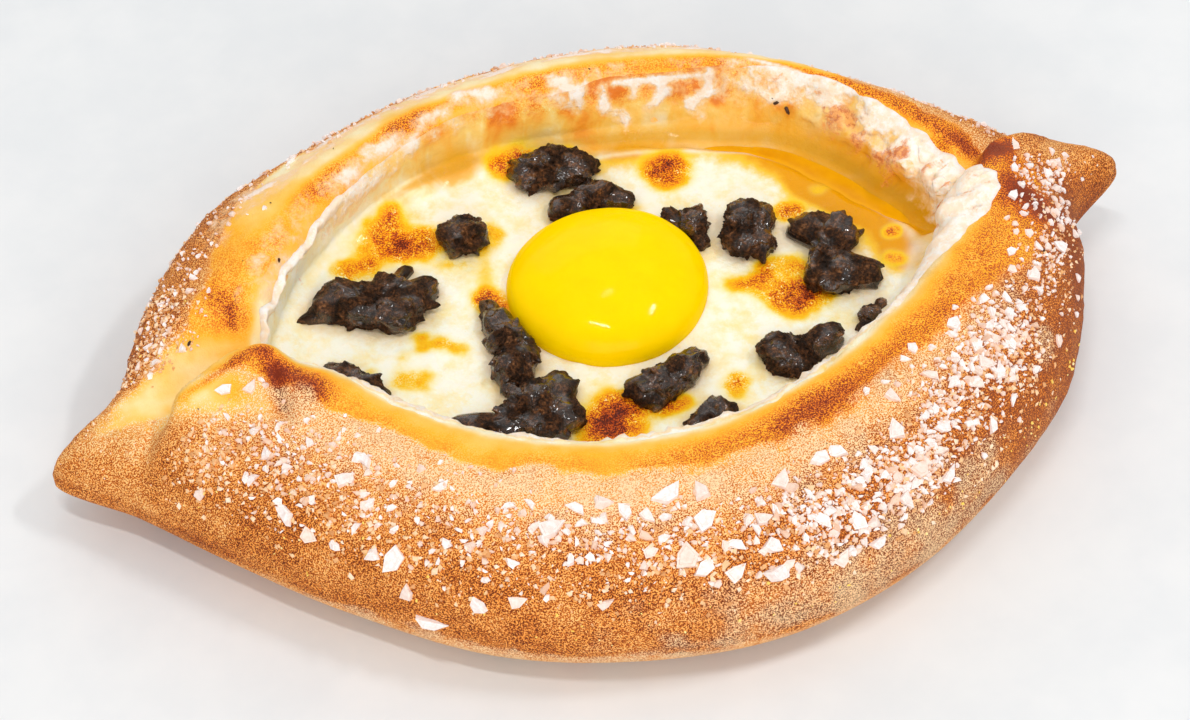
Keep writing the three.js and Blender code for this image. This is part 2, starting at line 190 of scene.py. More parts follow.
def crust(u, v):
    """A point for each station u and row v: the rings are smooth curves round
    the stations, and a second smooth curve runs over the thirteen rings."""
    rings = round_stations(RINGS.transpose(1, 0, 2), u).transpose(1, 0, 2)
    rings = np.concatenate([2 * rings[:1] - rings[1:2], rings, 2 * rings[-1:] - rings[-2:-1]])
    v = np.clip(np.asarray(v, float), 0, 12)
    whole = np.minimum(v.astype(int), 11)
    column = np.arange(len(u))
    p = through(*(rings[whole + k, column] for k in range(4)), (v - whole)[..., None])
    share = between(v, 4.2, 5.2, 8, 8.8)
    p[..., 2] = np.maximum(p[..., 2] + share * seam_relief(p[..., 0], p[..., 1]), 0)
    return p


def crust_normal(u, v):
    """The cross product of the crust's two directions, by central differences."""
    e = 0.02
    return unit(np.cross(crust(u + e, v) - crust(u - e, v), crust(u, v + e) - crust(u, v - e)))


def cheese_edge(u):
    """The row where the solid cheese ends."""
    return round_stations(STATIONS[:, 5], u)


# ------------------------------------------------------------- uneven surfaces
def lattice(cell, seed):
    """A repeatable number from 0 to 1 for each whole-number point: its three
    coordinates are multiplied by large numbers, summed and mixed by shifts."""
    h = (cell * np.array([374761393, 668265263, 1442695041])).sum(-1) + seed * 1274126177
    h = h & 0xFFFFFFFF
    h = ((h ^ (h >> 13)) * 1274126177) & 0xFFFFFFFF
    return ((h ^ (h >> 16)) & 0xFFFFFFFF) / 4294967295


def noise(p, size, seed=0):
    """Gradient noise, mostly from -1 to 1: each corner of the lattice has a random
    slope, and the heights of the eight slopes at a point are weighted by its
    smoothed place between the corners."""
    q = p / size
    cell = np.floor(q).astype(np.int64)
    t = q - cell
    s = t * t * (3 - 2 * t)
    total = 0
    for corner in np.ndindex(2, 2, 2):
        weight = np.prod(np.where(corner, s, 1 - s), axis=-1)
        slope = np.stack([lattice(cell + corner, seed + k) - 0.5 for k in (0, 101, 202)], -1)
        total = total + weight * (slope * (t - corner)).sum(-1)
    return 3.6 * total


def fractal(p, size, octaves=3, seed=0):
    """Noise of falling size and strength, each octave half the one before."""
    return sum(noise(p, size / 2 ** k, seed + 17 * k) / 2 ** k for k in range(octaves))


def bubbles(p, size, seed=0):
    """One point is scattered in each cell of a lattice. Gives the distance to
    the nearest, in cells, and that point's own random number."""
    q = p / size
    cell = np.floor(q).astype(np.int64)
    near = np.full(q.shape[:-1], 9.0)
    own = np.zeros(q.shape[:-1])
    for step in np.ndindex(3, 3, 3):
        spot = cell + np.array(step) - 1
        place = spot + np.stack([lattice(spot, seed + k) for k in (1, 2, 3)], -1)
        d = np.linalg.norm(q - place, axis=-1)
        own = np.where(d < near, lattice(spot, seed + 4), own)
        near = np.minimum(near, d)
    return near, own


def around(pairs, u):
    """A value given at some stations as (station, value), read at u between
    them along straight lines, right round the boat."""
    at, value = np.array(pairs, float).T
    return np.interp(np.asarray(u) % N, at, value, period=N)


def marks(x, y, strokes):
    """Sum over straight strokes [x0, y0, x1, y1, width, amount] of
    amount * exp(-(d / width)^2), d being the distance to the stroke in plan."""
    total = np.zeros(np.shape(x))
    for x0, y0, x1, y1, width, amount in strokes:
        dx, dy = x1 - x0, y1 - y0
        t = np.clip(((x - x0) * dx + (y - y0) * dy) / max(dx * dx + dy * dy, 1e-9), 0, 1)
        d = np.hypot(x - x0 - t * dx, y - y0 - t * dy)
        total += amount * np.exp(-(d / width) ** 2)
    return total


def grid_normals(p):
    """Outward normals of a grid whose columns close on themselves."""
    along = np.roll(p, -1, 1) - np.roll(p, 1, 1)
    return unit(np.cross(along, np.gradient(p, axis=0)))


# ---------------------------------------------------------------------- meshes
def make_piece(name, points, corners, sides, finish, slot, node=None, smooth_faces=True, **values):
    """A mesh object at the origin: points in millimetres, the faces' corners in
    one run, the number of sides of each face, and one value per point for each
    named attribute. It rides on the bread's body."""
    low, high = (np.array(c) * 1000 for c in (cad_low, cad_high))
    points = np.clip(np.asarray(points, float).reshape(-1, 3), low + MARGIN, high - MARGIN)
    mesh = bpy.data.meshes.new(name)
    mesh.vertices.add(len(points))
    mesh.vertices.foreach_set("co", (points / 1000).ravel().astype(np.float32))
    corners = np.asarray(corners, np.int32).ravel()
    mesh.loops.add(len(corners))
    mesh.loops.foreach_set("vertex_index", corners)
    sides = np.asarray(sides, np.int32)
    mesh.polygons.add(len(sides))
    mesh.polygons.foreach_set("loop_start", np.concatenate([[0], np.cumsum(sides)[:-1]]).astype(np.int32))
    mesh.polygons.foreach_set("use_smooth", np.full(len(sides), smooth_faces))
    for key, value in values.items():
        layer = mesh.attributes.new(key, "FLOAT", "POINT")
        layer.data.foreach_set("value", np.asarray(value, np.float32).ravel())
    mesh.update(calc_edges=True)
    mesh.validate()
    mesh.materials.append(finish)
    piece = bpy.data.objects.new(name, mesh)
    bpy.context.scene.collection.objects.link(piece)
    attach(piece, "root")
    if node:
        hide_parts(node)
    return piece


def closed_faces(rows, columns):
    """Faces of a closed body: a pole, rows of points and a pole. Each quad runs
    along its row and then on to the next row, which turns it outward."""
    i = np.arange(columns)
    after = (i + 1) % columns
    start = 1 + columns * np.arange(rows - 1)[:, None]
    quads = np.stack([start + i, start + after, start + columns + after, start + columns + i], -1)
    last = 1 + columns * (rows - 1)
    first_fan = np.stack([0 * i, 1 + after, 1 + i], -1)
    last_fan = np.stack([0 * i + last + columns, last + i, last + after], -1)
    corners = np.concatenate([first_fan.ravel(), quads.ravel(), last_fan.ravel()])
    sides = [3] * columns + [4] * (columns * (rows - 1)) + [3] * columns
    return corners, sides


def closed_piece(name, grid, finish, slot, node=None, **values):
    """grid[row, column] whose first and last rows shrink to the poles."""
    def joined(a):
        return np.concatenate([a[:1].mean(1), a[1:-1].reshape((-1,) + a.shape[2:]), a[-1:].mean(1)])
    corners, sides = closed_faces(grid.shape[0] - 2, grid.shape[1])
    return make_piece(name, joined(grid), corners, sides, finish, slot, node,
                      **{key: joined(value) for key, value in values.items()})


def scattered_piece(name, shapes, faces, finish, slot, node=None, smooth_faces=False, **values):
    """Many small bodies of one make joined: shapes[body, point], one list of
    triangles, and one value per body for each named attribute."""
    count, size = shapes.shape[:2]
    corners = (np.asarray(faces)[None] + size * np.arange(count)[:, None, None]).ravel()
    return make_piece(name, shapes, corners, [3] * (len(corners) // 3), finish, slot, node, smooth_faces,
                      **{key: np.repeat(value, size) for key, value in values.items()})


# -------------------------------------------------------------------- finishes
def tone(red, green, blue):
    """A screen colour, 0 to 255, as the linear colour that the shaders take."""
    c = np.array([red, green, blue]) / 255
    return (*np.where(c < 0.04045, c / 12.92, ((c + 0.055) / 1.055) ** 2.4), 1.0)


class Value:
    """A shader socket that takes part in sums: each operator adds a Math node."""

    def __init__(self, finish, socket):
        self.finish, self.socket = finish, socket

    def sum(self, operation, a, b):
        return self.finish.node("ShaderNodeMath", {"operation": operation}, [a, b])

    def __add__(self, other): return self.sum("ADD", self, other)
    def __radd__(self, other): return self.sum("ADD", other, self)
    def __sub__(self, other): return self.sum("SUBTRACT", self, other)
    def __rsub__(self, other): return self.sum("SUBTRACT", other, self)
    def __mul__(self, other): return self.sum("MULTIPLY", self, other)
    def __rmul__(self, other): return self.sum("MULTIPLY", other, self)


class Finish:
    """A material on one Principled shader, whose nodes are added by calls."""

    def __init__(self, name, constants):
        self.material = bpy.data.materials.new(name)
        self.material.use_nodes = True
        self.tree = self.material.node_tree
        self.shader = self.tree.nodes["Principled BSDF"]
        for key, value in constants.items():
            self.shader.inputs[key].default_value = value
        self.place = self.node("ShaderNodeTexCoord", output="Object")

    def put(self, socket, value):
        if isinstance(value, Value):
            self.tree.links.new(value.socket, socket)
        else:
            socket.default_value = value

    def node(self, kind, settings=None, inputs=(), output=0):
        """A node of that kind: settings first, with a ramp's stops among them,
        then its sockets' values or links, in order or by name."""
        made = self.tree.nodes.new(kind)
        for key, value in (settings or {}).items():
            if key == "stops":
                ramp = made.color_ramp
                while len(ramp.elements) < len(value):
                    ramp.elements.new(0.5)
                for element, (position, colour) in zip(ramp.elements, value):
                    element.position, element.color = position, colour
            else:
                setattr(made, key, value)
        pairs = inputs.items() if isinstance(inputs, dict) else enumerate(inputs)
        for key, value in pairs:
            self.put(made.inputs[key], value)
        return Value(self, made.outputs[output])

    def given(self, name):
        return self.node("ShaderNodeAttribute", {"attribute_name": name}, output="Fac")

    def speckle(self, size, detail=2.0, roughness=0.6, distortion=0.0, place=None):
        """Noise from 0 to 1 whose features are about size millimetres."""
        return self.node("ShaderNodeTexNoise", {}, {
            "Vector": place or self.place, "Scale": 1000 / size, "Detail": detail,
            "Roughness": roughness, "Distortion": distortion})

    def sand(self, size):
        """Grains lighter and darker than the mean, from -0.5 to 0.5."""
        return self.step(self.speckle(size, 1, 0.6), 0.36, 0.64) - 0.5

    def film(self, cover, colour, shade, white):
        """Paints baked film over a colour: the cover, broken up by two noises,
        first shades the colour and then turns it white. Also gives the white."""
        lump, fine = self.speckle(3.6, 3, 0.65, 0.3) - 0.5, self.speckle(1.3, 3, 0.7) - 0.5
        level = (cover + lump * 1.5 + fine * 0.5) * self.step(cover, 0.02, 0.25)
        colour = self.mix(self.step(level, 0.05, 0.5) * 0.75, colour, shade)
        whitened = self.step(level, 0.35, 0.8)
        return self.mix(whitened, colour, white), whitened

    def step(self, value, low, high):
        """0 below low, 1 above high, smooth between."""
        return self.node("ShaderNodeMapRange", {"interpolation_type": "SMOOTHSTEP"},
                         [value, low, high, 0.0, 1.0])

    def mix(self, share, a, b):
        """From a to b by the share. A colour is a link, or a tone's numbers."""
        a, b = (tone(*c) if isinstance(c, tuple) else c for c in (a, b))
        return self.node("ShaderNodeMix", {"data_type": "RGBA"}, {0: share, 6: a, 7: b}, output=2)

    def ramp(self, value, stops):
        """A value's colour: each stop is its place and then a tone's numbers."""
        stops = [(at, tone(*colour)) for at, *colour in stops]
        return self.node("ShaderNodeValToRGB", {"stops": stops}, [value])

    def relief(self, height, depth):
        """A Bump node of that depth in millimetres, for a height from 0 to 1."""
        return self.node("ShaderNodeBump", {}, {"Strength": 1.0, "Distance": depth / 1000, "Height": height})

    def paint(self, **links):
        for key, value in links.items():
            self.put(self.shader.inputs[key.replace("_", " ")], value)
        return self.material


def crust_finish():
    """Dry crust from floury white to dark brown, butter-brushed crust from pale
    gold to scorched, mixed by the loaf's own values, some of which are painted shade,
    and broken up by grains; a painted mauve shade tints the flanks."""
    f = Finish("baked_crust", {"Specular IOR Level": 0.14})
    sand, fleck, patch = f.sand(0.3), f.speckle(2.0, 4, 0.75) - 0.5, f.speckle(9, 3) - 0.5
    gold, bake, flour, cool, film = (f.given(k) for k in ("gold", "bake", "flour", "cool", "film"))
    gold = f.step(gold + sand * 0.4 + fleck * 0.8, 0.26, 0.74)
    dry = f.ramp(bake + sand * 0.64 + fleck * 0.3 + patch * 0.55, [
        (0.0, 255, 230, 182), (0.2, 255, 208, 134), (0.42, 252, 168, 78),
        (0.62, 224, 124, 46), (0.82, 174, 84, 32), (1.0, 106, 48, 20)])
    brushed = f.ramp(bake + (sand * 0.5 + fleck * 0.3) * f.step(bake, 0.3, 0.66) + patch * 0.35, [
        (0.0, 255, 246, 210), (0.12, 255, 228, 168), (0.27, 255, 203, 98), (0.42, 255, 182, 42),
        (0.6, 246, 144, 34), (0.8, 206, 90, 30), (1.0, 122, 44, 22)])
    colour = f.mix(gold, dry, brushed)
    dusted = f.step(flour + (fleck * 0.5 + patch * 1.2 - sand * 0.9) * f.step(flour, 0.0, 0.3), 0.0, 1.0)
    colour = f.mix(dusted * 0.8, colour, (255, 224, 176))
    # Painted shade: a mauve-brown tone where the flanks turn from the light.
    mauve = f.step(cool + (fleck * 0.6 + sand * 0.8 + patch * 0.7) * f.step(cool, 0.0, 0.3), 0.1, 1.0)
    colour = f.mix(mauve * 0.55, colour, (160, 86, 54))
    colour, white = f.film(film, colour, (255, 206, 150), (255, 234, 218))
    height = (fleck * 0.8 - sand * 0.14) * (1.0 - gold * 0.5) + white * 0.3
    return f.paint(Base_Color=colour, Roughness=0.68 - gold * 0.24 + fleck * 0.3,
                   Normal=f.relief(height, 0.55))


def cheese_finish():
    """Cream that toasts through yellow and orange to red-brown spots, with
    butter soaked in; a gilded wall with painted shade in the crease at its foot; and
    baked film, white with caramel pits and less white in its hollows by painted shade."""
    f = Finish("baked_cheese", {"Subsurface Weight": 0.25, "Subsurface Scale": 0.004,
                                "Subsurface Radius": (1.0, 0.75, 0.45), "Specular IOR Level": 0.12,
                                "Coat Roughness": 0.08})
    toast, butter, film, pit, gilt, crease, stain = (
        f.given(k) for k in ("toast", "butter", "film", "pit", "gilt", "crease", "stain"))
    sand, fine = f.sand(0.36), f.speckle(0.9, 3, 0.7) - 0.5
    fleck, patch = f.speckle(2.2, 4, 0.7) - 0.5, f.speckle(7, 4, 0.6) - 0.5
    hanging = f.node("ShaderNodeMapping", {"vector_type": "POINT"},
                     {"Vector": f.place, "Scale": (1.0, 1.0, 0.4)})
    drip = f.speckle(7.0, 3, 0.55, 0.5, hanging) - 0.5
    cream = f.mix(f.step(patch + fleck * 0.4, -0.1, 0.18), (255, 250, 230), (255, 238, 190))
    cream = f.mix(f.step(f.speckle(13, 4, 0.65) - 0.5 + fine * 0.3, 0.02, 0.2) * 0.6, cream, (255, 228, 140))
    cream = f.mix(f.step(stain + fleck * 0.5, 0.1, 0.9) * 0.5, cream, (226, 186, 128))
    cream = f.mix(f.step(butter + patch * 0.8 + fleck * 0.4, 0.05, 0.6), cream, (253, 204, 58))
    cream = f.mix(f.step(butter + patch * 0.4 + fleck * 0.2, 0.5, 0.95), cream, (234, 160, 2))
    gilded = f.ramp(gilt + drip * 1.4 + patch * 0.5 + (fine * 0.9 + sand * 0.22) * f.step(gilt, 0.65, 0.95), [
        (0.0, 255, 251, 236), (0.28, 255, 240, 192), (0.5, 255, 212, 124), (0.7, 255, 190, 86),
        (0.9, 250, 152, 54), (1.0, 236, 126, 44)])
    colour = f.mix(f.step(gilt, 0.0, 0.3), cream, gilded)
    colour = f.mix(butter * f.step(gilt, 0.1, 0.4) * 0.88, colour, (230, 162, 14))
    # Painted shade: a dark olive-gold line in the crease where the wall meets the pool.
    colour = f.mix(crease, colour, (204, 150, 24))
    chalk = f.mix(f.step(fleck + patch * 0.5, -0.12, 0.14), (255, 228, 200), (255, 246, 234))
    colour, white = f.film(film, colour, (255, 208, 144), chalk)
    level = toast + (sand * 0.5 + fine * 0.45 + fleck * 1.1) * f.step(toast, 0.15, 0.6)
    level = level + patch * 0.5 * f.step(toast, 0.02, 0.3)
    toasted = f.ramp(level, [(0.0, 255, 238, 140), (0.16, 255, 214, 34), (0.34, 252, 176, 8),
                             (0.54, 230, 114, 12), (0.76, 180, 66, 14), (1.0, 90, 30, 12)])
    colour = f.mix(f.step(level, 0.04, 0.26), colour, toasted)
    smudge = pit + (f.speckle(3.6, 4, 0.7, 0.3) - 0.5) * 3.4 + fine * 0.6
    singed = f.mix(f.step(fine + fleck, -0.1, 0.12), (208, 112, 52), (246, 168, 88))
    colour = f.mix(f.step(smudge, 0.6, 1.35) * 0.9, colour, singed)
    rough = 0.42 - butter * 0.25 + fleck * 0.3 + film * 0.12 - gilt * 0.1
    return f.paint(Base_Color=colour, Roughness=rough, Coat_Weight=0.05 + butter * 0.14,
                   Normal=f.relief(fleck * 0.8 + fine * 0.4 + white * 0.5, 0.4))


def yolk_finish():
    """Even yellow with a little light let through, and a shade warmer round the rim.
    Its faint orange emission is a painted glow.
    """
    # Painted light: the emission makes the yolk glow faintly orange of itself.
    f = Finish("raw_yolk", {"Subsurface Weight": 0.5, "Subsurface Scale": 0.006,
                            "Subsurface Radius": (1.0, 0.8, 0.01), "Specular IOR Level": 0.0,
                            "Coat Weight": 0.18, "Coat Roughness": 0.04,
                            "Emission Color": (1.0, 0.6, 0.0, 1.0), "Emission Strength": 0.13})
    colour = f.mix(f.step(f.speckle(9, 3), 0.3, 0.7), (255, 203, 0), (255, 209, 0))
    colour = f.mix(f.given("rim"), colour, (255, 204, 0))
    return f.paint(Base_Color=colour, Roughness=0.22 + f.speckle(2.5, 2) * 0.12,
                   Normal=f.relief(f.speckle(3.0, 3, 0.6), 0.12))


def clump_finish():
    """Dark brown paste, nearly black in places; its oil glints on soft ripples."""
    f = Finish("oily_clump", {"Specular IOR Level": 0.25, "Specular Tint": (1.0, 0.78, 0.68, 1.0),
                               "Coat Roughness": 0.05, "Coat IOR": 1.6})
    fine, fleck = f.speckle(0.7, 3, 0.7) - 0.5, f.speckle(3.0, 4, 0.65, 0.5) - 0.5
    wet = f.given("wet")
    colour = f.ramp(0.46 + fleck * 1.2 + fine * 1.2, [(0.2, 12, 6, 2), (0.45, 48, 27, 12),
                                                      (0.65, 92, 56, 30), (0.9, 160, 108, 66)])
    return f.paint(Base_Color=colour, Roughness=0.5 + fine * 0.4 - wet * 0.26, Coat_Weight=wet * 0.85,
                   Normal=f.relief((fleck * 0.8 + fine * 0.7) * (1.2 - wet * 0.4), 0.9))


def salt_finish():
    """Pinkish white flakes, of which the clear ones take the crust's tone."""
    f = Finish("coarse_salt", {"Specular IOR Level": 0.5})
    colour = f.mix(f.step(f.speckle(0.9, 3), 0.3, 0.75), (255, 250, 247), (244, 224, 216))
    colour = f.mix(f.given("clear") * 0.75, colour, (238, 188, 148))
    return f.paint(Base_Color=colour, Roughness=0.3 + f.speckle(0.6, 2) * 0.3,
                   Normal=f.relief(f.speckle(0.5, 3), 0.1))


def grain_finish(name, stops, roughness):
    """Baked-on grains and specks: a tone by each grain's own number."""
    f = Finish(name, {"Specular IOR Level": 0.4})
    level = f.given("own") * 0.8 + f.speckle(0.4, 2) * 0.2
    return f.paint(Base_Color=f.ramp(level, stops), Roughness=roughness + f.speckle(0.5, 2) * 0.2,
                   Normal=f.relief(f.speckle(0.35, 2), 0.08))


def butter_finish():
    """Amber, the tone of the butter soaked into the cheese round it."""
    f = Finish("melted_butter", {"Specular IOR Level": 0.1, "Coat Weight": 0.16, "Coat Roughness": 0.06})
    deep = f.step(f.given("deep") + f.speckle(7, 4, 0.6) - 0.5, 0.2, 1.0)
    return f.paint(Base_Color=f.mix(deep, (236, 166, 6), (222, 144, 2)),
                   Roughness=0.16 + f.speckle(3, 2) * 0.08, Normal=f.relief(f.speckle(5, 2), 0.1))


# ------------------------------------------------------------------------ loaf
LOAF_COLUMNS = 600
LOAF_ROWS = np.concatenate([[0, 1, 2, 2.5, 2.9, 3.2], np.linspace(3.4, 8.6, 128), [8.8, 9, 9.5, 10.5, 12]])

# Strokes in plan [x0, y0, x1, y1, width, amount]: the crust's knobs and creases
# with their height or depth; places scorched, where the strokes along the creases
# are partly painted shade; places brushed with butter beyond the band; and places
# of painted mauve shade.
KNOBS = [
    [-79, 7.5, -83, 6.5, 4.5, 1.6], [-78.2, 4, -78.6, -9, 2.0, -1.6], [-71, -4, -66, -8, 5, 0.8],
    [-93.5, 3, -91, 1, 5, 1.3], [-97, 4, -97, 4, 2.5, 0.8], [-88.7, 26, -88.7, 26, 4.5, 1.2],
    [-96.7, 20, -94, 26, 3, 0.8], [-84, 20, -80, 28, 1.6, -0.6], [84, 2.5, 92, 6.5, 3, 1.2],
    [92, 6.5, 104, 11, 3.5, 1.0], [88, -2, 88, -2, 4, 0.9], [93, -16, 96, -8, 3, 0.6],
    [96, -26, 98, -18, 3, -0.5], [100, 3, 106, 0, 3, -0.5],
]
# Scorched places; the strokes along the creases are partly painted shade.
SCORCH_AND_CREASE_SHADE = [
    [-79, 7.8, -84, 6, 2.2, 0.42], [-77.5, 6, -76, 2, 2.4, 0.46], [-78, 2.5, -78.4, -7, 1.7, 0.4],
    [-74, -1, -71, -7, 3.4, 0.38], [-86, 5.8, -97, 3, 1.2, 0.3], [-84, 26, -79, 20, 3, 0.2],
    [18, -47.5, 31, -43.5, 3.6, 0.14], [85, 4.5, 90, 6.5, 2.2, 0.34],
    [92, 6.5, 106, 12.5, 2.4, 0.26], [100, -20, 96, -32, 4, 0.2], [78, 17, 86, 14, 3, 0.3],
    [-70, 30, -66, 36, 3, 0.15], [92, -6, 94.5, -12, 3.6, 0.3], [86, 6.5, 90, 8, 2.0, 0.3],
    [-81.9, 23, -81.9, 19.5, 1.0, 0.3], [-34, 60, -28, 62, 4, 0.22], [-54, 48, -50, 51, 3.5, 0.16],
    [0, 63, 8, 62, 3, 0.14], [22, 59, 36, 55, 3, 0.12], [-94, 3, -90, 1, 4.5, -0.2],
    [-126, 9, -106, -2, 8, -0.08], [89, -4, 95, -12, 4.5, 0.28], [100, 4, 104, -2, 3, 0.2],
]
GILDED = [
    [-95, 4, -90, 1, 5, .8], [-110, 9, -100, 4, 4, .3], [-86, 0, -82, -6, 4, .4],
    [-88, 26, -88, 24, 3.5, .4], [82, -2, 86, -4, 4, .6], [0, -52, 14, -51, 3, .25],
]
MAUVE_SHADE_SPOTS = [[84, 3, 92, 6.5, 3, 0.3], [92, 6.5, 106, 12, 3, 0.25]]

# Values by station (station, value). The butter-brushed band: its outer row, how
# softly it ends, and how dark it is baked; at the crest, how pale its inner edge
# is and how wide that edge; and where its back is paler still.
BRUSHED_ROW = [
    (0, 6.8), (1, 6.7), (2, 6.6), (3, 6.6), (4, 6.2), (5, 5.9), (6, 5.8), (7, 5.8), (8.2, 5.8),
    (9, 5.9), (10, 6.4), (10.6, 6.2), (11, 5.8), (11.6, 5.6), (12.1, 5.6), (12.5, 6.4), (13, 6.9),
    (14, 7.0), (15, 6.95), (15.9, 6.8), (16.4, 6.95), (17, 6.92), (17.4, 6.75), (18, 6.85),
    (18.6, 6.72), (19, 6.8), (20, 6.65), (21, 6.35), (22, 5.8), (23, 5.7), (23.6, 6.5),
]
BRUSHED_END = [(0, .16), (10.4, .16), (11.1, .55), (12.1, .6), (12.7, .2), (14, .14), (18, .16), (21, .3), (23, .25)]
BRUSHED_BAKE = [
    (0, .7), (1, .6), (2, .66), (3, .6), (4, .5), (5, .46), (6, .44), (7, .44), (8, .44), (9, .4),
    (10, .5), (10.6, .42), (11, .18), (12, .18), (12.5, .3), (13.3, .5), (14, .56), (14.6, .48),
    (15.4, .42), (17, .44), (17.6, .52), (18.4, .68), (19, .7), (19.6, .62), (20.4, .56),
    (21.4, .54), (22.4, .6), (23.4, .62),
]
CREST_BAKE = [(0, .3), (3, .34), (4, .4), (7, .4), (8, .36), (8.8, .36), (9.5, .1), (19.5, .05), (21, .2), (23, .3)]
CREST_WIDTH = [(0, .75), (3, .6), (4, .3), (8, .3), (9, .4), (10, .75), (23, .75)]
BACK = [(3, 0), (4, 1), (8.5, 1), (9.5, 0)]
# Dry crust: how floury it is; how much painted mauve shade it takes; how much
# darker than most, which at the right end is painted shade; at its foot; along its
# front flank under the salt, as painted shade; where its low flank is dusty; and how
# gritty it is.
FLOURY = [
    (0, .05), (2, .1), (4, .15), (5.5, .2), (6.5, .2), (7.5, .15), (8.5, .1), (10, .1), (11.5, .1),
    (12.6, .24), (13.5, .34), (14.5, .55), (16, .72), (17.5, .76), (18.5, .66), (19.5, .54),
    (20.5, .4), (21.5, .06), (22.5, 0),
]
MAUVE_SHADE = [
    (0, .5), (1, .4), (2, .3), (3, .2), (5, 0), (8.5, 0), (9.5, .25), (10.5, .35), (11.2, .15),
    (12, .05), (16, .08), (18, .12), (19, .25), (20, .45), (21, .7), (22, .85), (23, .8),
]
DARKER = [
    (0, .06), (2, .12), (4, .1), (5.5, .06), (7.5, .06), (8.4, .06), (9.5, .1), (10.5, .12),
    (11.4, .0), (12, -.16), (12.8, -.1), (14, 0), (18, 0), (20, .08), (21, .18), (22, .3), (23, .2),
]
DARK_FOOT = [(10, 0), (11.4, 1), (13.4, 1), (14.4, 0), (22, 0), (23, .6)]
SALT_SHADE = [(13, .6), (17.4, .6), (18.4, 1), (20.6, 1), (21.4, .4), (23, 0)]
DUSTY = [(16.6, 0), (18, .75), (19, .95), (19.7, .8), (20.3, .3), (21, 0)]
GRITTY = [(0, .3), (2, .3), (9, .5), (10.5, .9), (12, .25), (14, .5), (16, .25), (20, .3), (22.5, .6)]
# Baked film on the crust, inside the crest and outside it.
FILM_PATCHES = [
    (0, 0), (4, .1), (4.6, .25), (6.4, .2), (7.2, .12), (8.4, .15), (9, .25), (9.6, .3), (10.4, .1),
    (10.8, 0), (23, 0),
]
OUTER_FILM = [(0, 0), (2, .15), (4, .4), (5, .5), (7, .5), (8, .36), (8.8, .35), (9.4, .15), (10.4, 0), (23, 0)]
# By row, on dry crust: how much it is baked, darker towards the foot, which is partly
# painted shade.
DRY_BAKE_AND_SHADE = [(3.3, .5), (3.6, .48), (3.85, .7), (4.4, .67), (4.9, .6), (5.4, .51), (6.0, .4), (6.5, .28), (7.2, .22)]
# Single strands and blots of white film: [station, row, station, row, width in
# millimetres, amount].
STRANDS = [
    [5.6, 7.82, 5.2, 7.87, 1.2, .9], [5.2, 7.87, 4.9, 7.8, 1.2, .9],
    [5.45, 7.85, 5.45, 8.12, 1.1, .8], [5.2, 7.9, 5.2, 8.17, 1.3, .9],
    [5.2, 8.17, 5.3, 8.4, 1.5, .9], [4.8, 7.6, 4.8, 8.17, 1.2, .9],
    [4.8, 8.17, 4.95, 8.37, 1.3, .9], [4.95, 8.37, 4.8, 8.57, 1.2, .8],
    [5.72, 7.87, 5.7, 8.3, 1.2, .8], [5.7, 8.3, 5.5, 8.58, 1.4, .9],
    [6.0, 7.45, 6.0, 7.72, 1.1, .8], [6.0, 7.72, 5.92, 7.95, 1.3, .8],
    [5.92, 7.95, 5.85, 7.72, 1.2, .8], [5.9, 7.95, 5.9, 8.3, 1.1, .6],
    [6.1, 7.27, 6.1, 7.57, 1.2, .7], [6.15, 7.9, 5.95, 8.2, 1.8, .6],
    [6.85, 6.95, 6.6, 7.4, 3.2, .75], [7.2, 7.4, 7.05, 7.45, 2.8, .7],
    [7.85, 7.45, 7.65, 7.65, 3.4, .8], [8.3, 7.5, 8.1, 7.6, 3.0, .7],
    [7.45, 7.9, 7.3, 7.7, 2.0, .5], [6.4, 5.5, 6.2, 5.6, 1.5, .8], [6.05, 6.4, 5.9, 6.0, 1.3, .6],
    [5.7, 5.6, 5.2, 5.6, 1.5, .7], [8.9, 5.9, 8.7, 6.1, 1.4, .8], [8.0, 5.8, 7.9, 5.9, 1.4, .6],
    [4.4, 7.0, 3.9, 7.5, 1.6, .7],
]
STATION_RUN = 27
ROW_RUN = 12


def unrolled(u, v, strokes):
    """The sum over strokes on the crust as laid out flat, where a station and a
    row are their runs long in millimetres."""
    flat = np.array(strokes) * (STATION_RUN, ROW_RUN, STATION_RUN, ROW_RUN, 1, 1)
    return marks(STATION_RUN * np.asarray(u) + 0 * v, ROW_RUN * v, flat)


def brushed_values(u, v, x, y, patch, fleck):
    """How much the crust is brushed with butter, and how dark that is baked: pale
    at the inner edge and the crest, and darker over the crest's width outside."""
    gold = smooth((v - around(BRUSHED_ROW, u) - 0.2 * patch - 0.06 * fleck) / around(BRUSHED_END, u), -1, 1)
    gold = np.maximum(gold, np.clip(marks(x, y, GILDED), 0, 1) * smooth(v, 4.4, 5.4))
    pale, inner = around(CREST_BAKE, u), 0.32
    rim = pale + (inner - pale) * smooth(7.85 - v, 0, 0.3)
    rim = rim + (1.12 * around(BRUSHED_BAKE, u) - inner) * smooth((7.75 - v) / around(CREST_WIDTH, u), 0, 1)
    return gold, rim * (1 - 0.7 * smooth(7.2 - v, 0, 0.5) * around(BACK, u))


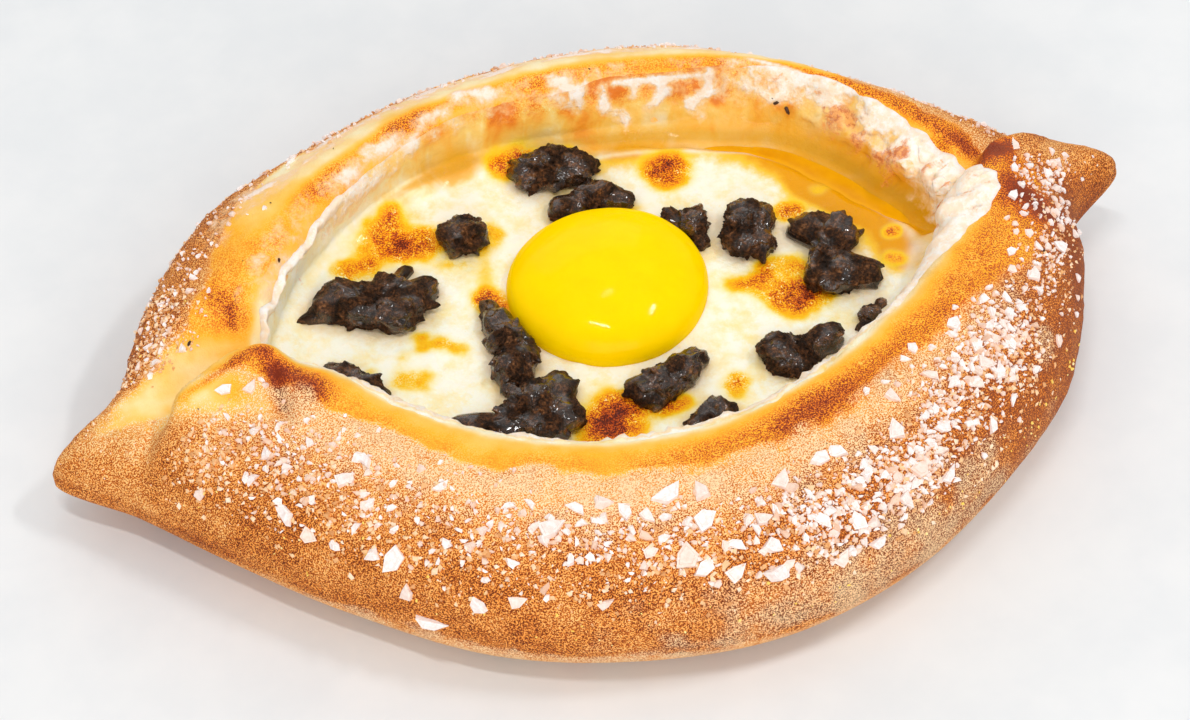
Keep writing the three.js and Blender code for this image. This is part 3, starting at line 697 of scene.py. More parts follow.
def loaf_values(u, v, p):
    """Where each finish of the crust lies, by station, row and plan: brushed, baked
    and darkened by painted shade, floury, tinted by painted mauve shade, and covered by film."""
    x, y = p[..., 0], p[..., 1]
    patch, fleck = fractal(p, 9, 3, 11), noise(p, 2.6, 12)
    gold, rim = brushed_values(u, v, x, y, patch, fleck)
    # Partly painted shade in the dry crust's tone: darker towards the foot, and painted shade at the right end and
    # under the salt on the front flank.
    dry = np.interp(v, *np.array(DRY_BAKE_AND_SHADE).T) + around(DARKER, u)
    dry = dry + 0.3 * (1 - smooth(v, 3.5, 4.2)) * around(DARK_FOOT, u)
    dry = dry + 0.2 * between(v, 4.5, 5, 5.9, 6.5) * around(SALT_SHADE, u)
    bake = dry + gold * (rim - dry) + marks(x, y, SCORCH_AND_CREASE_SHADE) * smooth(v, 4.2, 5.2) + 0.08 * patch
    foot = (1 - smooth(v + 0.3 * patch + 0.1 * fleck, 3.5, 3.95)) * between(u + patch, 13.6, 15.2, 19.8, 21)
    flour = around(FLOURY, u) * smooth(v + 0.3 * patch, 5.5, 6.6) * (1 - gold) + 0.6 * foot
    flour = flour * (1 - 0.5 * smooth(fractal(p, 6, 3, 13), 0.05, 0.6))
    dusty = around(DUSTY, u + 0.8 * patch + 0.25 * fleck)
    flour = flour + 0.6 * dusty * smooth(v, 3.7, 4.0) * (1 - smooth(v + 0.5 * patch, 4.5, 5.4))
    # Painted mauve shade, stronger low on the flanks.
    cool = around(MAUVE_SHADE, u) * (1 - 0.75 * smooth(v, 5.6, 6.8)) + marks(x, y, MAUVE_SHADE_SPOTS)
    film = around(FILM_PATCHES, u) * smooth(v, 6.7, 7.3) * (1 + 0.6 * patch)
    film = film + around(OUTER_FILM, u) * between(v, 5.4, 5.8, 6.3, 6.7) * (1 + patch)
    return dict(gold=gold, bake=bake, flour=flour, cool=cool * (1 - 0.8 * smooth(x, 106, 116)),
                film=np.clip(film, 0, 1) + 0.75 * unrolled(u, v, STRANDS))


def baked_crust(u, v):
    """The crust pushed along its normals by broad unevenness, the knobs and
    creases, and fine lumps that are strongest on the dry roll."""
    p = crust(u, v)
    lumps = 0.55 * fractal(p, 24, 2, 3) + 0.16 * fractal(p, 4.5, 3, 5)
    lumps = lumps + marks(p[..., 0], p[..., 1], KNOBS) * smooth(v, 4.6, 5.4)
    lumps = lumps + around(GRITTY, u) * 0.45 * np.maximum(noise(p, 2.2, 8), 0) * (1 - smooth(v, 6.2, 7.0))
    lumps = lumps + 0.1 * noise(p, 1.9, 9) * (1 - 0.7 * smooth(v, 6.8, 7.2))
    p = p + (between(v, 3.3, 4.2, 8.3, 8.8) * lumps)[..., None] * crust_normal(u, v)
    p[..., 2] = np.maximum(p[..., 2], 0)
    return p


def make_loaf():
    u = np.arange(LOAF_COLUMNS) * N / LOAF_COLUMNS
    v = np.repeat(LOAF_ROWS[:, None], LOAF_COLUMNS, 1)
    p = baked_crust(u, v)
    closed_piece("loaf", p, crust_finish(), "crust", "bread", **loaf_values(u, v, p))


# ------------------------------------------------------------------------ salt
# By zone: [first station, last station, first row, last row, number of pieces,
# least and greatest half-width]. The first list is the large flakes.
SALT_ZONES = [
    (19, 22.6, 4.7, 6.9, 46, 0.8, 2.3), (16.4, 19, 4.8, 6.4, 14, 0.8, 2.5),
    (13.4, 16.4, 4.8, 6.9, 22, 0.7, 2.2), (22.6, 24.4, 5.0, 7.0, 11, 0.8, 1.9),
    (8.6, 11.3, 4.8, 6.8, 12, 0.7, 1.6), (2.4, 8.6, 4.8, 6.3, 12, 0.6, 1.4),
]
SALT_SEED = 20
SALT_CLEAR = 1.4
# Single flakes that stand out, and dark crumbs: [station, row, half-width, turn,
# lean, sides].
PLACED_SALT = [
    (13.15, 6.5, 1.7, 0.3, .1, .3), (13.4, 6.7, 1.6, 1.9, .1, .6), (14.95, 6.3, 1.9, 2.2, .3, .2),
    (14.85, 5.9, 2.1, 1.2, .2, .5), (14.45, 5.1, 2.3, 2.0, .3, .1), (14.7, 4.9, 2.0, 0.4, .4, .7),
    (15.35, 5.0, 2.9, 0.9, .1, .3), (15.45, 4.55, 1.9, 1.7, .2, .6), (15.6, 4.1, 2.6, 0.2, .2, .1),
    (15.9, 4.65, 2.0, 2.9, .3, .4), (16.15, 4.8, 1.9, 1.1, .2, .6), (15.6, 6.3, 1.5, 0.5, .1, .2),
    (16.4, 5.95, 2.8, 1.3, .3, .5), (16.6, 6.3, 1.8, 2.5, .1, .2), (16.8, 6.4, 1.9, 0.8, .5, .6),
    (16.95, 6.25, 1.9, 1.9, .1, .3), (17.1, 6.15, 1.7, 0.1, .2, .5), (17.3, 6.45, 2.9, 0.6, .1, .2),
    (17.55, 6.4, 2.2, 2.8, .4, .6), (17.5, 5.95, 2.7, 1.5, .1, .4), (17.3, 5.45, 3.0, 2.4, .2, .7),
    (17.4, 5.25, 2.2, 0.9, .3, .3), (17.6, 5.1, 2.3, 1.6, .1, .5), (17.9, 4.95, 2.8, 0.4, .6, .2),
    (18.15, 6.2, 2.3, 2.1, .1, .6), (18.5, 6.25, 2.2, 0.7, .2, .3), (17.65, 5.5, 1.9, 2.9, .2, .1),
    (20.2, 6.6, 2.0, 2.0, .2, .4), (20.15, 5.8, 2.1, 0.9, .1, .6), (20.2, 5.55, 1.9, 1.4, .2, .2),
    (19.15, 6.0, 2.4, 2.6, .4, .5), (19.5, 5.6, 1.9, 0.5, .2, .3), (19.15, 5.35, 2.3, 1.8, .3, .7),
    (19.35, 5.0, 2.0, 1.0, .2, .1), (21.15, 5.95, 1.9, 2.3, .3, .5), (19.3, 6.45, 1.8, 0.2, .2, .6),
    (20.2, 6.1, 1.8, 1.5, .1, .3), (18.55, 5.2, 2.2, 2.8, .2, .4), (18.65, 4.75, 1.9, 0.7, .3, .2),
    (18.35, 4.8, 2.0, 1.9, .3, .6), (18.95, 5.1, 1.9, 0.1, .2, .5), (20.45, 5.7, 1.7, 2.2, .2, .3),
    (17.9, 5.75, 1.9, 1.2, .3, .6), (18.3, 5.45, 2.1, 2.6, .1, .2), (17.9, 5.35, 2.1, 0.5, .4, .4),
]
PLACED_GROW = 1.25
CRUMBS = [
    (4.15, 8.3, .55, .4, .2, .2), (4.0, 8.4, .7, 1.2, .2, .5), (4.2, 8.22, .35, 2.0, .1, .1),
    (10.85, 6.35, .5, .9, .1, .2), (9.35, 7.7, .45, 1.5, .1, .6), (21.5, 5.9, .4, .8, .1, .2),
]
MEDIUM_SALT = [
    (18.0, 19.4, 4.8, 6.1, 110, 0.7, 1.9), (19.4, 20.8, 5.1, 6.6, 90, 0.7, 1.8),
    (16.4, 18.0, 5.0, 6.4, 62, 0.7, 1.8), (13.3, 16.4, 4.9, 6.7, 80, 0.6, 1.7),
    (22.0, 23.8, 5.1, 7.0, 26, 0.7, 1.6), (20.8, 22.2, 5.2, 6.6, 24, 0.6, 1.6),
    (8.8, 11.2, 5.0, 6.5, 24, 0.6, 1.4), (1.4, 8.6, 5.0, 6.1, 70, 0.6, 1.4),
]
SMALL_SALT = [
    (18.1, 19.4, 4.8, 6.1, 560, 0.25, 1.0), (19.4, 20.7, 5.0, 6.6, 480, 0.25, 1.0),
    (16.6, 18.4, 5.0, 6.4, 240, 0.25, 0.9), (20.5, 21.8, 5.2, 6.4, 130, 0.25, 0.8),
    (13.3, 16.6, 4.8, 6.9, 320, 0.25, 0.9), (22.0, 24.0, 5.0, 7.2, 120, 0.25, 0.8),
    (8.8, 11.2, 4.8, 6.6, 90, 0.25, 0.7), (1.4, 8.8, 4.8, 6.2, 260, 0.25, 0.8),
]
GRAINS = [
    (15.6, 18.4, 4.5, 6.2, 760, 0.25, 0.85), (13.2, 15.6, 4.5, 6.4, 760, 0.25, 0.85),
    (18.4, 20.8, 4.5, 6.4, 900, 0.25, 0.8), (20.8, 22.2, 4.6, 6.6, 240, 0.2, 0.6),
    (22.2, 23.8, 4.8, 6.8, 90, 0.2, 0.5), (9.9, 11.2, 4.6, 6.4, 520, 0.25, 0.7),
    (8.6, 9.9, 4.4, 5.8, 170, 0.2, 0.6), (1.2, 8.6, 4.6, 6.1, 420, 0.2, 0.7),
    (11.3, 13.2, 4.2, 6.0, 60, 0.2, 0.45),
]
SPECKS = [
    (16.2, 20.2, 3.9, 5.0, 46, 0.2, 0.42), (20.0, 21.3, 4.0, 4.9, 26, 0.22, 0.5),
    (13.2, 16.2, 3.8, 5.6, 26, 0.2, 0.4), (10, 11.4, 4.6, 6.4, 10, 0.2, 0.4),
]
CRUMB_ZONES = [(2.6, 6, 7.0, 8.2, 7, .14, .3), (8, 11, 6.0, 7.9, 3, .12, .26), (13, 23, 5.2, 6.4, 7, .12, .24)]
FLAKE_SIDES = 5


def stream(seed):
    """A repeatable stream of numbers from 0 to 1, by 32-bit shifts and products."""
    def product(a, b):
        return (a * b) & 0xFFFFFFFF
    while True:
        seed = (seed + 0x6D2B79F5) & 0xFFFFFFFF
        t = product(seed ^ (seed >> 15), 1 | seed)
        t = ((t + product(t ^ (t >> 7), 61 | t)) & 0xFFFFFFFF) ^ t
        yield (t ^ (t >> 14)) / 4294967296


def large_flakes():
    """Places of the large flakes: the largest first, clear of each other and of
    the cheese. Each row is station, row, half-width, turn, lean and sides."""
    numbers = stream(SALT_SEED)
    placed, points = [], []
    for u0, u1, v0, v1, count, least, greatest in SALT_ZONES:
        for i in range(count):
            size = greatest + (least - greatest) * math.sqrt(i / count)
            for _ in range(40):
                u = np.array([u0 + (u1 - u0) * next(numbers)])
                v = np.array([v0 + (v1 - v0) * next(numbers)])
                p = crust(u, v)[0]
                apart = all(np.linalg.norm(q - p) > 0.9 * (s[2] + size) + 0.4
                            for q, s in zip(points, placed))
                edge = crust(u, cheese_edge(u))[0]
                if apart and np.linalg.norm(edge - p) > size + SALT_CLEAR and p[2] > 8:
                    turn, lean = next(numbers) * 2 * math.pi, 0.5 * next(numbers)
                    placed.append((u[0], v[0], size, turn, lean, next(numbers)))
                    points.append(p)
                    break
    return np.array(placed)


def sprinkle(zones, seed, clump=0.0):
    """Random places by zone, thinned by the clump share where a broad noise is
    low, and drawn so that most pieces are small. Rows are as in large_flakes."""
    draw = np.random.default_rng(seed)
    rows = []
    for u0, u1, v0, v1, count, least, greatest in zones:
        many = 3 * count
        u = draw.uniform(u0, u1, many)
        v = v0 + (v1 - v0) * (0.5 + 0.5 * np.clip(draw.normal(0, 0.45, many), -1, 1))
        p = crust(u, v)
        keep = noise(p, 9, seed) * clump + draw.uniform(-1, 1, many) > -0.2
        keep = keep & (p[:, 2] > 5) & (v < cheese_edge(u) - 0.35)
        size = least + (greatest - least) * draw.uniform(0, 1, many) ** 2.2
        shares = [draw.uniform(0, most, many) for most in (2 * np.pi, 0.9, 1)]
        rows.append(np.column_stack([u, v, size, *shares])[keep][:count])
    return np.concatenate(rows)


def surface_frames(rows):
    """Place and axes of things lying on the crust: the normal is leaned towards
    the turned direction by the lean."""
    u, v, _, turn, lean, _ = rows.T
    p, normal = baked_crust(u, v), crust_normal(u, v)
    along = np.stack([np.cos(turn), np.sin(turn), 0 * turn], -1)
    along = unit(along - (along * normal).sum(-1, keepdims=True) * normal)
    up = unit(normal * np.cos(lean)[:, None] + along * np.sin(lean)[:, None])
    x = unit(along - (along * up).sum(-1, keepdims=True) * up)
    return p, x, np.cross(up, x), up


def at(p, x, y, up, along, across, height):
    """Points of small bodies, from a body's place and axes and the points' distances
    along its three axes."""
    return (p[:, None] + up[:, None] * height[..., None]
            + x[:, None] * along[..., None] + y[:, None] * across[..., None])


def flakes(rows):
    """A thin uneven plate of five sides with a smaller plate on it: rings at the
    low face, the rim, and round the foot and the top of the step."""
    p, x, y, up = surface_frames(rows)
    size, lean, sides = rows[:, 2], rows[:, 4], rows[:, 5]
    thick = 0.4 + 0.14 * size
    low = -0.6 * thick - 0.5 * size * np.sin(lean)
    angle = 2 * np.pi * np.arange(FLAKE_SIDES) / FLAKE_SIDES
    own = sides[:, None]
    r = size[:, None] * (0.82 + 0.3 * np.cos(2 * angle + 5 * own) + 0.12 * np.sin(3 * angle + 9 * own))

    def ring(height, grow):
        return at(p, x, y, up, grow * r * np.cos(angle), grow * 0.8 * r * np.sin(angle), height[:, None])
    high = 0.7 * thick + 0.2 * size * np.sin(lean)
    points = [(p + up * low[:, None])[:, None], ring(low, 1.0), ring(high, 0.97), ring(high, 0.72),
              ring(high + 0.3 * thick, 0.66), (p + up * (high + 0.22 * thick)[:, None])[:, None]]
    return np.concatenate(points, 1), triangles(*closed_faces(4, FLAKE_SIDES))


def triangles(corners, sides):
    """The faces' corners as triangles, each quad cut along its first diagonal."""
    faces, at = [], 0
    for n in sides:
        ring = corners[at:at + n]
        faces += [[ring[0], ring[k], ring[k + 1]] for k in range(1, n - 1)]
        at += n
    return np.array(faces)


GOLDEN = (1 + 5 ** 0.5) / 2
TWENTY_CORNERS = unit(np.array([
    [-1, GOLDEN, 0], [1, GOLDEN, 0], [-1, -GOLDEN, 0], [1, -GOLDEN, 0], [0, -1, GOLDEN], [0, 1, GOLDEN],
    [0, -1, -GOLDEN], [0, 1, -GOLDEN], [GOLDEN, 0, -1], [GOLDEN, 0, 1], [-GOLDEN, 0, -1], [-GOLDEN, 0, 1]]))
TWENTY_FACES = np.array([
    [0, 11, 5], [0, 5, 1], [0, 1, 7], [0, 7, 10], [0, 10, 11], [1, 5, 9], [5, 11, 4], [11, 10, 2], [10, 7, 6],
    [7, 1, 8], [3, 9, 4], [3, 4, 2], [3, 2, 6], [3, 6, 8], [3, 8, 9], [4, 9, 5], [2, 4, 11], [6, 2, 10],
    [8, 6, 7], [9, 8, 1]])


def pebbles(rows, flatness, rise, length=1.0):
    """A grain: an icosahedron with each corner moved in or out by its own random
    share, flattened, drawn out to the length, and raised from the crust."""
    draw = np.random.default_rng(5)
    radius = rows[:, 2, None] * draw.uniform(0.7, 1.3, (len(rows), 12))
    stretch = length * draw.uniform(0.7, 1.3, (len(rows), 1))
    q = TWENTY_CORNERS[None] * radius[..., None]
    height = q[..., 2] * flatness + rise * rows[:, 2, None]
    return at(*surface_frames(rows), q[..., 0] * stretch, q[..., 1] / stretch, height), TWENTY_FACES


def crystals(rows):
    """An angular grain: an octahedron whose four side corners are turned and moved
    in or out, and whose top leans aside, by its own random shares."""
    draw = np.random.default_rng(6)
    count, size = len(rows), rows[:, 2, None]
    angle = np.pi / 2 * np.arange(4) + draw.uniform(-0.5, 0.5, (count, 4))
    reach = size * draw.uniform(0.55, 1.45, (count, 4))
    along, across = (np.concatenate([size * draw.uniform(-0.4, 0.4, (count, 1)), reach * side, 0 * size], 1)
                     for side in (np.cos(angle), np.sin(angle)))
    top, middle = draw.uniform(0.6, 1.1, (count, 1)), draw.uniform(-0.1, 0.4, (count, 4))
    height = size * np.concatenate([top, middle, np.full((count, 1), -0.5)], 1)
    faces = np.array([[0, 1, 2], [0, 2, 3], [0, 3, 4], [0, 4, 1], [5, 2, 1], [5, 3, 2], [5, 4, 3], [5, 1, 4]])
    return at(*surface_frames(rows), along, across, height), faces


def make_sprinkles():
    """The salt, the baked grains and the golden specks, each kind one piece."""
    salt = salt_finish()
    large = large_flakes()
    scattered_piece("salt_flakes", *flakes(large), salt, "salt", "bread", clear=0.45 * (large[:, 5] > 0.72))
    placed = np.array(PLACED_SALT) * (1, 1, PLACED_GROW, 1, 1, 1)
    small = np.concatenate([placed, sprinkle(SMALL_SALT, 31, 0.8), sprinkle(MEDIUM_SALT, 34, 0.6)])
    scattered_piece("salt_splinters", *flakes(small), salt, "salt", clear=np.clip(small[:, 5] * 1.8 - 0.7, 0, 1))
    rows = sprinkle(GRAINS, 32, 0.8)
    baked = grain_finish("baked_grains", [(0.0, 206, 136, 78), (0.3, 236, 176, 114), (0.6, 250, 208, 158),
                                          (0.85, 255, 232, 204), (1.0, 190, 116, 66)], 0.4)
    scattered_piece("baked_grains", *crystals(rows), baked, "crust", own=rows[:, 5])
    rows = sprinkle(SPECKS, 33, 0.4)
    golden = grain_finish("golden_specks", [(0.0, 248, 206, 84), (0.6, 254, 222, 110), (1.0, 255, 240, 190)], 0.35)
    scattered_piece("golden_specks", *pebbles(rows, 0.8, 0.4), golden, "crust", own=rows[:, 5])


def make_crumbs():
    """Dark crumbs that fell from the clumps: long pebbles on the crust, and on
    the baked film, where they are lifted by its thickness."""
    rows = np.concatenate([np.array(CRUMBS), sprinkle(CRUMB_ZONES, 35)])
    shapes, faces = pebbles(rows, 0.8, 0.5, 1.4)
    u, v = rows[:, 0], rows[:, 1]
    lift = np.where(v > 8, 1.3, np.where(v > 7.3, 0.8, 0.1)) * np.where(u < 12, 1, 0)
    shapes = shapes + (lift[:, None] * crust_normal(u, v))[:, None]
    dark = grain_finish("dark_crumbs", [(0.0, 40, 22, 14), (0.6, 74, 42, 24), (1.0, 110, 66, 40)], 0.35)
    scattered_piece("dark_crumbs", shapes, faces, dark, "clump", own=rows[:, 5])


# ---------------------------------------------------------------------- cheese
CHEESE_COLUMNS = 480
FILM_ROWS = 52
POOL_ROWS = 100
# The film ends at this row of the wall and the pool starts this far from row
# FOOT_ROW. The pool climbs by this much at the wall, over this width.
WALL_ROW = 8.72
FOOT_ROW = 9.0
POOL_START = 3.1
CLIMB = 3.0
CLIMB_WIDTH = 3.0

# The film by station: its thickness, how lumpy it is, how white, and the row down
# to which it is white; how far its edge lies outside the solid's, in rows; how far
# its lip sags; where it hangs in folds; where it is a thin rope on the lip; and
# where its edge alone is white.
FILM_BODY = [
    (0, 2.6), (1, 2.6), (2, 2.4), (3, 2.0), (4, 1.4), (4.6, .8), (5, .6), (6, .5), (7, .5), (8, .7),
    (9, 1.0), (10, 1.0), (11, 1.1), (12, 1.0), (13, 1.2), (14, 1.2), (16.7, 1.3), (17.1, 2.6),
    (17.7, 2.4), (18.1, 1.4), (19.5, 1.4), (20.5, 1.5), (21, 2.2), (22, 2.9), (23, 2.9),
]
FILM_LUMPS = [
    (0, 1), (2, 1), (3.5, .9), (4.6, .6), (5.2, .4), (7, .4), (8.4, .5), (9, 1.1), (11, 1.1),
    (12, .6), (13, .6), (16, .9), (19.5, .9), (21, 1), (22.5, 1.1),
]
FILM_WHITE = [
    (0, 1.0), (3, .9), (3.8, .8), (4.4, .6), (4.8, .2), (5.6, .12), (6.2, .14), (7, .3), (7.6, .4),
    (8, .6), (8.6, 1.0), (9.2, 1.2), (12, 1.2), (13, 1), (14, .8), (19.8, .8), (20.6, 1.2),
]
WHITE_END = [
    (0, 8.7), (1.5, 8.6), (2.8, 8.5), (3.6, 8.4), (4.4, 8.4), (6, 8.35), (7.6, 8.3), (8.6, 8.6),
    (9.4, 8.9), (12, 8.9), (13, 8.5), (20, 8.5), (21.5, 8.7), (23, 8.75),
]
FILM_REACH = [
    (0, 0), (1.6, 0), (2.6, .25), (3.4, .4), (4.4, .32), (5.2, .1), (6, 0), (12.4, 0), (13.4, .25),
    (15, .48), (19, .46), (19.8, .25), (20.6, 0), (23, 0),
]
FILM_SAG = [(0, 2.0), (2, 2.2), (3.4, 1.6), (4.4, .4), (5, 0), (20.5, 0), (21.5, 1.5)]
FILM_FOLDS = [(0, .1), (3, .4), (4, 1), (7.6, 1), (8.8, .3), (12, .2), (13, 0), (20.5, 0), (22, .1)]
FILM_ROPE = [(0, 0), (8, 0), (8.8, 1), (12, 1), (12.8, 0), (23, 0)]
FRINGE = [(12.6, 0), (13.4, 1), (19.6, 1), (20.2, 0)]
# The wall's gilt and that of its top, under the lacing, and the painted shade in
# the crease at its foot.
GILT = [
    (0, .4), (1, .45), (2, .55), (3, .62), (4, .66), (5, .64), (6, .6), (7, .52), (7.8, .34),
    (8.6, .14), (9.6, .05), (10.6, .04), (12, .06), (13.4, .1), (15, .2), (19, .25), (20.5, .25),
    (22, .3),
]
TOP_GILT = [(0, 0), (3, 0), (4.2, .28), (4.8, .38), (6.4, .38), (7, .22), (7.6, .2), (8.4, .1), (9, 0), (23, 0)]
CREASE_SHADE = [(0, 0), (1.5, .4), (3, .6), (5, .5), (7.5, .4), (8.5, 0), (23, 0)]
# How far from the wall melted butter stands, in millimetres, and how much of it
# has soaked in.
BUTTER_REACH = [
    (0, 7), (1, 9.5), (2, 11), (3, 11), (4, 9), (5, 5.5), (6, 4.5), (7, 4), (7.8, 0), (22.4, 0),
    (23, 5),
]
SOAKED = [(0, 1), (3.6, 1), (4.6, .5), (7, .3), (7.8, 0), (22.4, 0), (23, 1)]

# Strokes in plan: toasted and buttery places of the pool.
TOAST = [
    [-10, 54.5, -5, 55, 4, .75], [3, 53, 5, 52, 3, .4], [25, 40, 26, 40.5, 4.8, .85],
    [22, 44, 28, 43, 3, .3], [-38, 39, -34, 38.5, 5, .85], [-45, 42, -40, 40, 4, .5],
    [-38, 49, -38, 49, 2.8, .55], [-22, 34, -19, 36, 4, .5], [-53, 35, -49, 36, 3.5, .7],
    [-26, 18, -24, 15, 3, .6], [-26, 18, -26, 18, 5, .3], [-43, 12, -43, 10, 3, .35],
    [-39, 9, -36, 6, 2.6, .35], [-48, 9, -48, 9, 2, .28], [-50, 2, -47, 1, 4, .4],
    [-13, -25, -12, -24, 5.6, 1.0], [-9, -19, 4, -24, 3, .4], [-13, -25, -12, -24, 9, .3],
    [16, -24, 17, -23, 3.5, .55], [38, -5, 40, -5, 5, .85], [34, -2, 44, -4, 5, .3],
    [27, 4, 27, 4, 2.8, .45], [31, 2, 33, 3, 2.8, .42], [46, 20, 48, 20, 3, .75],
    [66, 6, 66.5, 6, 2, .65], [36, 6, 42, 4.5, 3.4, .5], [-1, -24, 1, -24, 2.6, .5],
    [63, -1, 64, -2, 2.5, .5], [-38, -28, -36, -27, 3, .3], [56, 24, 60, 26, 2.5, .25],
    [10, 29, 14, 33, 3, .25], [-30, 30, -24, 26, 3, .25], [-43, 46, -41, 46, 2.8, .45],
    [-56, 7, -56, 7, 2, .28],
]
BUTTERY = [
    [60, 12, 68, 4, 6, .8], [62, 0, 66, -6, 4, .5], [52, 24, 60, 20, 5, .5],
    [16, 50, 30, 46, 4, .5], [-46, 44, -34, 48, 4, .5], [-27, 56.5, -18, 57.5, 3.5, .8],
    [0, 46, 20, 48, 5, .25], [68, 8, 66, -2, 4, .8],
]
# Caramel spots of the film, as strokes on the crust laid out flat.
CARAMEL = [
    [3.45, 8.35, 3.3, 8.35, 3.6, .8], [2.95, 8.45, 2.85, 8.45, 3.4, .8],
    [2.3, 8.42, 2.1, 8.42, 4.0, .9], [4.2, 7.75, 4.2, 7.85, 3.0, .8],
    [4.75, 7.9, 4.7, 7.95, 2.6, .7], [4.5, 8.17, 4.5, 8.17, 2.4, .6],
    [3.3, 8.07, 3.1, 8.07, 2.4, .7], [3.75, 7.97, 3.75, 7.97, 2.0, .6],
    [23.9, 8.65, 23.95, 8.5, 1.4, .9], [.3, 8.3, .35, 8.2, 1.4, .9],
    [21.2, 7.45, 21.2, 7.5, 1.8, .8], [1.5, 8.2, 1.4, 8.3, 2.0, .7],
    [22.4, 7.9, 22.5, 8.0, 1.6, .7], [4.0, 8.3, 4.0, 8.4, 2.4, .5], [5.35, 7.95, 5.3, 8.0, 2.4, .5],
    [5.0, 8.05, 5.0, 8.1, 2.2, .5], [6.3, 7.8, 6.2, 7.9, 2.6, .4],
]


def ripple(x, y):
    """Low waves of the pool."""
    return 0.2 * np.sin(0.16 * x + 0.6) * np.sin(0.19 * y + 1.1) + 0.1 * np.sin(0.41 * x - 0.23 * y)


def make_wall_table():
    """The wall's foot in plan about the hollow's middle, in order of angle: angle,
    reach and station."""
    station = np.arange(0, N, 0.05)
    x, y = (crust(station, np.full(len(station), FOOT_ROW))[:, :2] - CENTRE).T
    angle = np.arctan2(y, x) % (2 * np.pi)
    order = np.argsort(angle)
    return angle[order], np.hypot(x, y)[order], np.unwrap(station[order], period=N)


WALL_ANGLE, WALL_REACH, WALL_STATION = make_wall_table()


def from_wall(x, y):
    """The distance in plan from the wall, towards the middle, and the station."""
    angle = np.arctan2(y - CENTRE[1], x - CENTRE[0]) % (2 * np.pi)
    reach = np.interp(angle, WALL_ANGLE, WALL_REACH, period=2 * np.pi)
    return (reach - np.hypot(x - CENTRE[0], y - CENTRE[1]),
            np.interp(angle, WALL_ANGLE, WALL_STATION))


def pool_height(x, y):
    """Level of the cheese in plan: it climbs unevenly by exp(-d / width) towards the
    wall at a distance d, but for the hollow where butter stands; it ripples, and
    has curds and blistered toast."""
    d, u = from_wall(x, y)
    flat = np.stack([x, y, 0 * x], -1)
    curd = 0.3 * fractal(flat, 9, 2, 21) + 0.12 * fractal(flat, 2.6, 2, 22)
    blister = np.clip(marks(x, y, TOAST), 0, 1) * (0.2 + 0.5 * np.maximum(noise(flat, 1.6, 23), 0))
    hollow = smooth(around(BUTTER_REACH, u) - d, 0, 3.5)
    climb = CLIMB * (1 + 0.5 * noise(flat, 8, 24)) * np.exp(-(np.maximum(d, 1) - 2.4) / CLIMB_WIDTH)
    level = POOL + (climb + ripple(x, y)) * (1 - 0.9 * hollow) + curd * (1 - 0.5 * hollow)
    return level + blister - 0.8 * hollow


def stacked(on_film, on_pool):
    """A value for each point of the film's rows, then of the pool's. A number, or
    a value by row or by column, fills them."""
    return np.concatenate([np.broadcast_to(on_film, (FILM_ROWS, CHEESE_COLUMNS)),
                           np.broadcast_to(on_pool, (POOL_ROWS + 1, CHEESE_COLUMNS))])


def bowl_film(u, edge, share):
    """The film from its edge down the wall: the baked crust pushed along its
    normals by the film's thickness. That is its body, which rises from the edge
    and is puffed and lumpy, with a sagging lip, caramel pits and hanging folds.
    Where it is a rope, a knobbly bell curve takes its place."""
    v = edge + share * (WALL_ROW - edge)
    p = baked_crust(u, v)
    step_in = np.linalg.norm(np.gradient(p, axis=0), axis=-1).cumsum(0)
    step_in = step_in - step_in[:1]
    body, lumps = around(FILM_BODY, u), around(FILM_LUMPS, u)
    rise = 1 - np.exp(-step_in / (0.5 + 0.9 * body))
    thickly = smooth(lumps * ((u < 12) | (u > 20.4)), 0.65, 0.95) * smooth(step_in, 0.8, 2.5)

    rough = p + 1.2 * np.stack([noise(p, 3.0, seed) for seed in (48, 49, 50)], -1)
    near, own = bubbles(rough, 4.0, 43)
    pit = smooth(0.46 - near, 0, 0.3) * (own > 0.62)
    crack = smooth(0.1 - np.abs(noise(rough, 5, 52)), 0, 0.08) * smooth(noise(p, 6, 53), 0.1, 0.4)
    pit = np.maximum(pit, 0.8 * crack) * thickly

    back = 1 - 0.75 * between(u, 12, 12.5, 20, 20.5)
    puff = back * (0.5 * noise(p, 7.5, 44) + 0.16 * noise(p, 3.4, 58))
    puff = puff + (1 - back) * (np.abs(fractal(p, 3.6, 2, 44)) - 0.2)
    sag = around(FILM_SAG, u) * np.exp(-((v - 8.35) / 0.22) ** 2)
    thick = -0.25 + body * rise * (1 + 1.5 * lumps * puff)
    thick = thick + sag * (1 + 1.6 * (np.abs(noise(p, 7, 45)) - 0.3)) - 0.9 * pit
    knob = 0.7 + 0.9 * np.abs(noise(p, 3.4, 45)) + 0.5 * noise(p, 1.6, 54)
    rope = -0.2 + 0.5 * smooth(step_in, 0, 1) + 0.9 * np.exp(-((step_in - 1.1) / 0.95) ** 2) * knob
    rope = rope + 0.3 * fractal(p, 6, 2, 55) * smooth(step_in, 1, 3)
    thick = thick + around(FILM_ROPE, u) * (rope - thick) + lumps * 0.1 * rise * fractal(p, 2.2, 2, 46)
    hung = p * (1, 1, 0.35)
    fold = noise(hung, 5.5, 56) + 0.5 * noise(hung, 2.6, 57)
    thick = thick + 0.4 * fold * smooth(v, 8.0, 8.3) * around(FILM_FOLDS, u)
    surface = p + np.maximum(thick, -0.25)[..., None] * grid_normals(p)
    return surface, dict(v=v, p=p, step_in=step_in, thickly=thickly, puff=puff, pit=pit)


